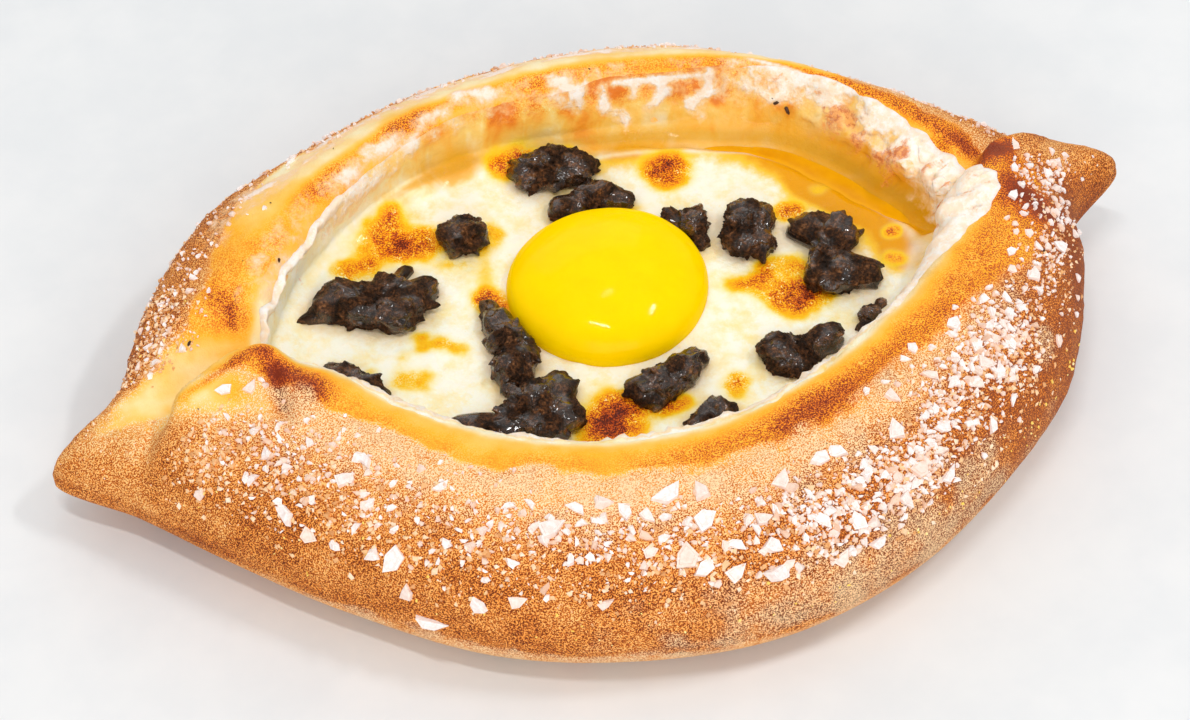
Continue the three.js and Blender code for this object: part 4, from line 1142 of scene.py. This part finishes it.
def pool_surface(u, t):
    """Rings from the wall's foot to the middle, closer together near the wall,
    at the pool's level."""
    wall = crust(u, np.full((1, len(u)), FOOT_ROW))[0, :, :2]
    toward = CENTRE - wall
    reach = np.linalg.norm(toward, axis=-1)
    d = POOL_START + (reach - POOL_START) * (t - 0.35 * t * (1 - t))
    plan = wall + toward / reach[:, None] * d[..., None]
    return np.concatenate([plan, pool_height(plan[..., 0], plan[..., 1])[..., None]], -1)


def cheese_values(u, share, t, top, v, p, step_in, thickly, puff, pit):
    """Where each finish of the cheese lies, from the top's points and the film's
    own values: toasted, buttery, white film with painted shade in its hollows,
    pitted, gilded, painted shade in the crease at the wall's foot, stained."""
    x, y = top[..., 0], top[..., 1]
    row, step_on, on_film = stacked(v, FOOT_ROW), stacked(step_in, FOOT_ROW), stacked(1, 0)
    wander, end = stacked(0.12 * fractal(p, 5, 2, 47), 0), around(WHITE_END, u)
    # Painted shade: the film is less white in the hollows between its lumps, and whitest on their tops.
    high = stacked(1 - 0.5 * thickly * (1 - smooth(puff, -0.4, 0.1)), 1)
    white = around(FILM_WHITE, u) * high * (1 - smooth(row + wander, end - 0.35, end + 0.2)) * on_film
    white = white * (1 - around(FILM_ROPE, u) * smooth(step_on + 6 * wander, 1.6, 3.4))
    white = white * (1 - 0.9 * around(FRINGE, u) * (1 - smooth(step_on, 0.3, 1.8)))
    pits = stacked(0.25 * thickly + 0.6 * pit, 0) * (1 - smooth(row, 8.6, 8.9))

    on_pool = smooth(row, 8.3, 8.8)
    toast = 0.7 * marks(x, y, TOAST) * on_pool * (1 + 0.35 * fractal(np.stack([x, y, 0 * x], -1), 4, 2, 51))
    away, station = from_wall(x, y)
    reach = smooth(around(BUTTER_REACH, station) * 1.5 + 2 - away, 0, 7)
    butter = np.clip(marks(x, y, BUTTERY), 0, 1) + 0.95 * around(SOAKED, station) * reach
    gilt = around(GILT, u) + around(TOP_GILT, u) * (1 - smooth(row, 7.9, 8.6))
    # Painted shade in the crease: the film's last rows and the pool's first, at the wall's foot.
    crease = around(CREASE_SHADE, u) * stacked(smooth(share - 0.97, 0, 0.03), 1 - smooth(t, 0.0, 0.012))
    lobes = np.concatenate([np.array(lobes) for lobes in CLUMPS.values()])
    stain = marks(x, y, [(a, b, a, b, 1.25 * r + 0.6, 1.0) for a, b, r in lobes]) * on_pool
    return dict(toast=toast, butter=butter * smooth(row, 8.2, 8.7),
                film=white + 0.7 * unrolled(u, row, STRANDS) * on_film,
                pit=pits + unrolled(u, row, CARAMEL) * on_film,
                gilt=gilt * stacked(1, 1 - smooth(t, 0.0, 0.14)),
                crease=crease, stain=np.clip(stain, 0, 1))


def make_cheese():
    """Underside rows just inside the crust, then the film from its frilly edge
    down the wall, then the pool from the wall to the middle of the hollow. The
    rows where film and pool meet are evened out."""
    u = np.arange(CHEESE_COLUMNS) * N / CHEESE_COLUMNS
    share = np.linspace(0, 1, FILM_ROWS)[:, None]
    t = np.linspace(0, 1, POOL_ROWS + 1)[:, None]
    place = crust(u, cheese_edge(u))
    frill = 0.24 * fractal(place, 7, 2, 41) + 0.05 * noise(place, 1.9, 42)
    edge = cheese_edge(u) - around(FILM_REACH, u) + frill * around(FILM_LUMPS, u)
    film, film_values = bowl_film(u, edge, share)
    top = np.concatenate([film, pool_surface(u, t)])
    for _ in range(5):
        a, b = FILM_ROWS - 4, FILM_ROWS + 3
        top[a:b] = 0.25 * top[a - 1:b - 1] + 0.5 * top[a:b] + 0.25 * top[a + 1:b + 1]

    last = 8.5
    rows = np.array([12, 10, 9.3, 8.9, last])[:, None] + 0 * u
    rows = np.concatenate([rows, edge + (last - edge) * np.array([[0.6], [0.25]])])
    under = crust(u, rows) - 0.4 * crust_normal(u, np.minimum(rows, 11.8))
    values = cheese_values(u, share, t, top, **film_values)
    unseen = np.zeros(rows.shape)
    closed_piece("baked_cheese", np.concatenate([under, top]), cheese_finish(), "cheese", "cheese",
                 **{key: np.concatenate([unseen, value]) for key, value in values.items()})


def make_butter():
    """A level sheet along the back wall, of which only what lies over the
    cheese's hollows shows. It dips smoothly at its near rim, and at its ends by a
    low power of a sine along it; its thickness is a sine across it."""
    columns, across = 260, 26
    u = np.linspace(7.9, 0.2, columns)
    wall = crust(u, np.full(columns, FOOT_ROW))[:, :2]
    t = np.linspace(0, 1, across)[:, None]
    plan = wall + unit(CENTRE - wall) * (0.8 + 14 * t)[..., None]
    dip = (1 - smooth(t, 0.6, 1.0) * 0.9) * np.sin(np.pi * np.linspace(0, 1, columns)) ** 0.2
    waves = 0.05 * noise(np.concatenate([plan, 0 * plan[..., :1]], -1), 7, 61)
    level = POOL - 0.2 - 0.8 * (1 - dip) + waves
    over = np.concatenate([plan, level[..., None]], -1)
    under = np.concatenate([plan, (level - 0.9 * np.sin(np.pi * t))[..., None]], -1)
    ring = np.concatenate([over[::-1], under[1:-1]])
    depth = level - pool_height(plan[..., 0], plan[..., 1])
    deep = np.concatenate([smooth(depth, 0.0, 0.8)[::-1], 0 * depth[1:-1]])
    closed_piece("butter_film", ring.transpose(1, 0, 2), butter_finish(), "butter", deep=deep.T)


# ------------------------------------------------------------- yolk and clumps
YOLK_MIDDLE = np.array([0.2, 11.6, 22.6])
YOLK_REACH = np.array([22.4, 22.2, 10.4])


def make_yolk():
    """A slack ellipsoid: round in plan but for two small waves, flatter below its
    middle, and faintly uneven."""
    rows, columns = 72, 168
    polar = np.linspace(np.pi, 0, rows)[:, None]
    turn = 2 * np.pi * np.arange(columns) / columns
    slack = 1 + 0.012 * np.sin(2 * turn + 0.6) + 0.01 * np.sin(3 * turn)
    flat = np.where(np.cos(polar) < 0, 0.75, 1.0)
    grid = YOLK_MIDDLE + YOLK_REACH * np.stack([
        slack * np.sin(polar) * np.cos(turn), slack * np.sin(polar) * np.sin(turn),
        flat * np.cos(polar) + 0 * turn], -1)
    grid = grid + 0.12 * noise(grid, 6, 71)[..., None] * grid_normals(grid)
    rim = 1 - smooth(np.cos(polar) + 0 * turn, 0.05, 0.5)
    closed_piece("egg_yolk", grid, yolk_finish(), "yolk", "yolk", rim=rim)


# The clumps' lobes in plan: [x, y, radius].
CLUMPS = {
    "back": [[-6, 49.5, 3.8], [-1, 49, 5], [4, 47.5, 4.6], [7.5, 48, 2.2]],
    "behind_yolk": [[-1.5, 36.5, 3.2], [4, 37.5, 3.2], [9, 37, 3.2], [12.5, 35, 2.4]],
    "nub": [[-26.5, 36, 4.4], [-24, 35.5, 3.8], [-23.5, 40.5, 1.2]],
    "wide_left": [[-64, 25, 1.6], [-60.5, 26, 3.2], [-56.5, 27, 4.4], [-53.5, 23.5, 4.6], [-50, 21.5, 3.8],
                  [-45.5, 26, 4], [-46.5, 19, 4.6], [-42, 21.5, 3.8], [-38, 24.5, 2.8], [-41, 31, 1.6]],
    "tall_left": [[-26.5, 14.5, 2], [-26.5, 9.5, 3.2], [-26, 3.5, 4], [-24, -0.5, 3.2], [-27.5, -4, 4.4],
                  [-30, -9, 1.6]],
    "wide_front": [[-42, -15.5, 2.6], [-39, -17, 3.2], [-35, -19.5, 3.6], [-31, -17.5, 3.6], [-26.5, -16.5, 5.2],
                   [-21, -13.5, 4], [-22.5, -20.5, 4.4], [-27.5, -22.5, 4]],
    "under_yolk": [[10.5, -14.5, 2.8], [6, -17.5, 3.8], [1, -19, 4], [-3.5, -18.5, 2.8], [-2, -22.5, 2.2]],
    "front": [[10.5, -28.5, 2.4], [3.5, -31.5, 2], [13, -30, 1.4], [7, -31, 2.8]],
    "front_right": [[28.5, -19.5, 4.2], [39, -19.5, 3.6], [30, -24, 3], [34, -21, 3.2]],
    "by_yolk": [[20.5, 26, 2.2], [24.2, 22, 3.4], [26, 25, 2], [24.5, 17.5, 1.8]],
    "right": [[36, 18.5, 4.8], [32.5, 14.5, 4], [36, 11.5, 3.4], [39.5, 18.5, 3.2]],
    "wide_right": [[46, 13, 2.8], [50, 12.5, 3.2], [53.5, 7.5, 4.2], [48, 2, 3.8], [45, -2.5, 3.6], [50.5, -3, 4.4],
                   [55, -4.5, 3.2]],
    "edge_right": [[51.5, -16, 2.4], [48.5, -18.5, 1.4], [55, -13.5, 1.4]],
    "edge_left": [[-64, 8.3, 2.3], [-61.5, 7.3, 2.6], [-60.2, 4, 2.5], [-57.8, 1.6, 2.6], [-55.6, -0.8, 1.5]],
}
# How much wider than drawn a lobe is, how high its middle stands and how tall it
# is, in radii, how sharply lobes blend, and the polar angle where a clump ends.
CLUMP_GROW = 1.1
CLUMP_RISE = 0.45
CLUMP_HEIGHT = 0.8
CLUMP_BLEND = 2.2
CLUMP_END = 1.95


def make_clump(name, lobes, finish):
    """Star-shaped about the lobes' middle: each ray reaches out to where the
    lobes' summed field exp(blend * (1 - q^2)) falls to one, q being the distance
    from a lobe's middle in its own radii. Crags of falling size stand on that,
    softer where it is wet."""
    x, y, r = np.array(lobes, float).T * np.array([[1], [1], [CLUMP_GROW]])
    centres = np.stack([x, y, POOL + CLUMP_RISE * r], -1)
    weight = (r ** 2).sum()
    middle = (centres * r[:, None] ** 2).sum(0) / weight
    columns, rows = (150, 60) if weight > 60 else (96, 40)
    polar = np.linspace(CLUMP_END, 0, rows)[:, None]
    turn = 2 * np.pi * np.arange(columns) / columns
    ray = np.stack([np.sin(polar) * np.cos(turn), np.sin(polar) * np.sin(turn), np.cos(polar) + 0 * turn], -1)
    shape = np.stack([r, r, CLUMP_HEIGHT * r], -1)
    out = np.full(ray.shape[:2], 0.5)
    for d in np.arange(22, 0.5, -0.2):
        q = ((middle + ray * d)[..., None, :] - centres) / shape
        inside = np.exp(CLUMP_BLEND * (1 - (q ** 2).sum(-1))).sum(-1) >= 1
        out = np.where(inside & (out == 0.5), d, out)
    p = middle + ray * out[..., None]

    def ridge(size, seed):
        return 0.3 - np.abs(noise(p, size, seed))
    wet = smooth(noise(p, 4.0, 85), -0.2, 0.2)
    crag = 1.0 * fractal(p, 4.6, 2, 81) + (1.3 - 0.5 * wet) * ridge(2.4, 82)
    crag = crag + (0.8 - 0.6 * wet) * ridge(1.1, 83) + 0.5 * wet * ridge(1.9, 86)
    crag = crag + 1.8 * smooth(noise(p, 2.2, 84), 0.4, 0.9)
    p = p + ray * (crag * min(1.0, np.sqrt(weight / len(lobes)) / 3))[..., None]
    base = POOL + GAP + ripple(x, y).max() - 1.1
    p[..., 2] = np.maximum(p[..., 2], base)
    pole = np.zeros((1, columns, 3)) + [middle[0], middle[1], base]
    closed_piece("oily_clump_" + name, np.concatenate([pole, p]), finish, "clump", "clump_" + name,
                 wet=np.concatenate([wet[:1], wet]))


def make_clumps():
    finish = clump_finish()
    for name, lobes in CLUMPS.items():
        make_clump(name, lobes, finish)


# ----------------------------------------------------------------------- stage
TARGET = np.array([-0.0075, -0.001, 0.015])
AZIMUTH, ELEVATION = math.radians(-20.0), math.radians(50.0)
DISTANCE = 0.6
SENSOR = 36.0
# The focal length as a share of the picture's width.
FOCAL = 2730 / 1190


def aim(thing, place, target):
    thing.location = place
    thing.rotation_mode = "QUATERNION"
    thing.rotation_quaternion = (Vector(target) - Vector(place)).to_track_quat("-Z", "Y")


def make_camera():
    data = bpy.data.cameras.new("camera")
    data.sensor_width = SENSOR
    data.lens = FOCAL * SENSOR
    data.clip_start, data.clip_end = 0.01, 20
    camera = bpy.data.objects.new("camera", data)
    bpy.context.scene.collection.objects.link(camera)
    across, up = math.cos(ELEVATION), math.sin(ELEVATION)
    towards = np.array([math.sin(AZIMUTH) * across, -math.cos(AZIMUTH) * across, up])
    aim(camera, TARGET + DISTANCE * towards, TARGET)
    bpy.context.scene.camera = camera


# Lights: [direction, distance, long side, short side, power in watts, tint].
WHITE = (1, 1, 1)
LIGHTS = [
    ("overhead", (-0.16, -0.18, 0.97), 1.2, 0.34, 0.05, 3.0, WHITE),
    ("right_window", (0.49, -0.15, 0.86), 1.2, 0.22, 0.07, 2.6, WHITE),
    ("sky", (0.15, 0.35, 1.0), 1.6, 1.6, 1.6, 2.4, WHITE),
    ("cool_window", (0.05, 0.28, 0.95), 1.2, 0.14, 0.07, 0.3, (0.6, 0.8, 1)),
    ("front_fill", (-0.25, -0.85, 0.5), 1.6, 1.4, 1.0, 7.5, WHITE),
    ("front_window", (-0.30, -0.93, 0.22), 1.3, 0.60, 0.05, 2.2, (1, 0.88, 0.82)),
    ("back_fill", (0.1, 0.85, 0.5), 1.6, 1.4, 0.8, 3.2, WHITE),
]


def make_light():
    for name, towards, distance, long_side, short_side, power, tint in LIGHTS:
        data = bpy.data.lights.new(name, "AREA")
        data.shape, data.size, data.size_y = "RECTANGLE", long_side, short_side
        data.energy, data.color = power, tint
        lamp = bpy.data.objects.new(name, data)
        bpy.context.scene.collection.objects.link(lamp)
        aim(lamp, unit(np.array(towards)) * distance, (0, 0, 0))
    world = bpy.data.worlds.new("studio")
    world.use_nodes = True
    background = world.node_tree.nodes["Background"]
    background.inputs["Color"].default_value = (1, 1, 1, 1)
    background.inputs["Strength"].default_value = 0.5
    bpy.context.scene.world = world
    bpy.context.scene.view_settings.view_transform = "Standard"


def make_floor():
    r = 6.0
    mesh = bpy.data.meshes.new("floor")
    mesh.from_pydata([(-r, -r, 0), (r, -r, 0), (r, r, 0), (-r, r, 0)], [], [(0, 1, 2, 3)])
    f = Finish("pale_floor", {"Specular IOR Level": 0.1})
    cloud = f.step(f.speckle(30, 4), 0.3, 0.7)
    mesh.materials.append(f.paint(Base_Color=f.mix(cloud, (227, 229, 230), (233, 234, 234)), Roughness=0.9))
    floor = bpy.data.objects.new("floor", mesh)
    bpy.context.scene.collection.objects.link(floor)


make_camera()
make_light()
make_floor()
make_loaf()
make_sprinkles()
make_crumbs()
make_cheese()
make_butter()
make_yolk()
make_clumps()
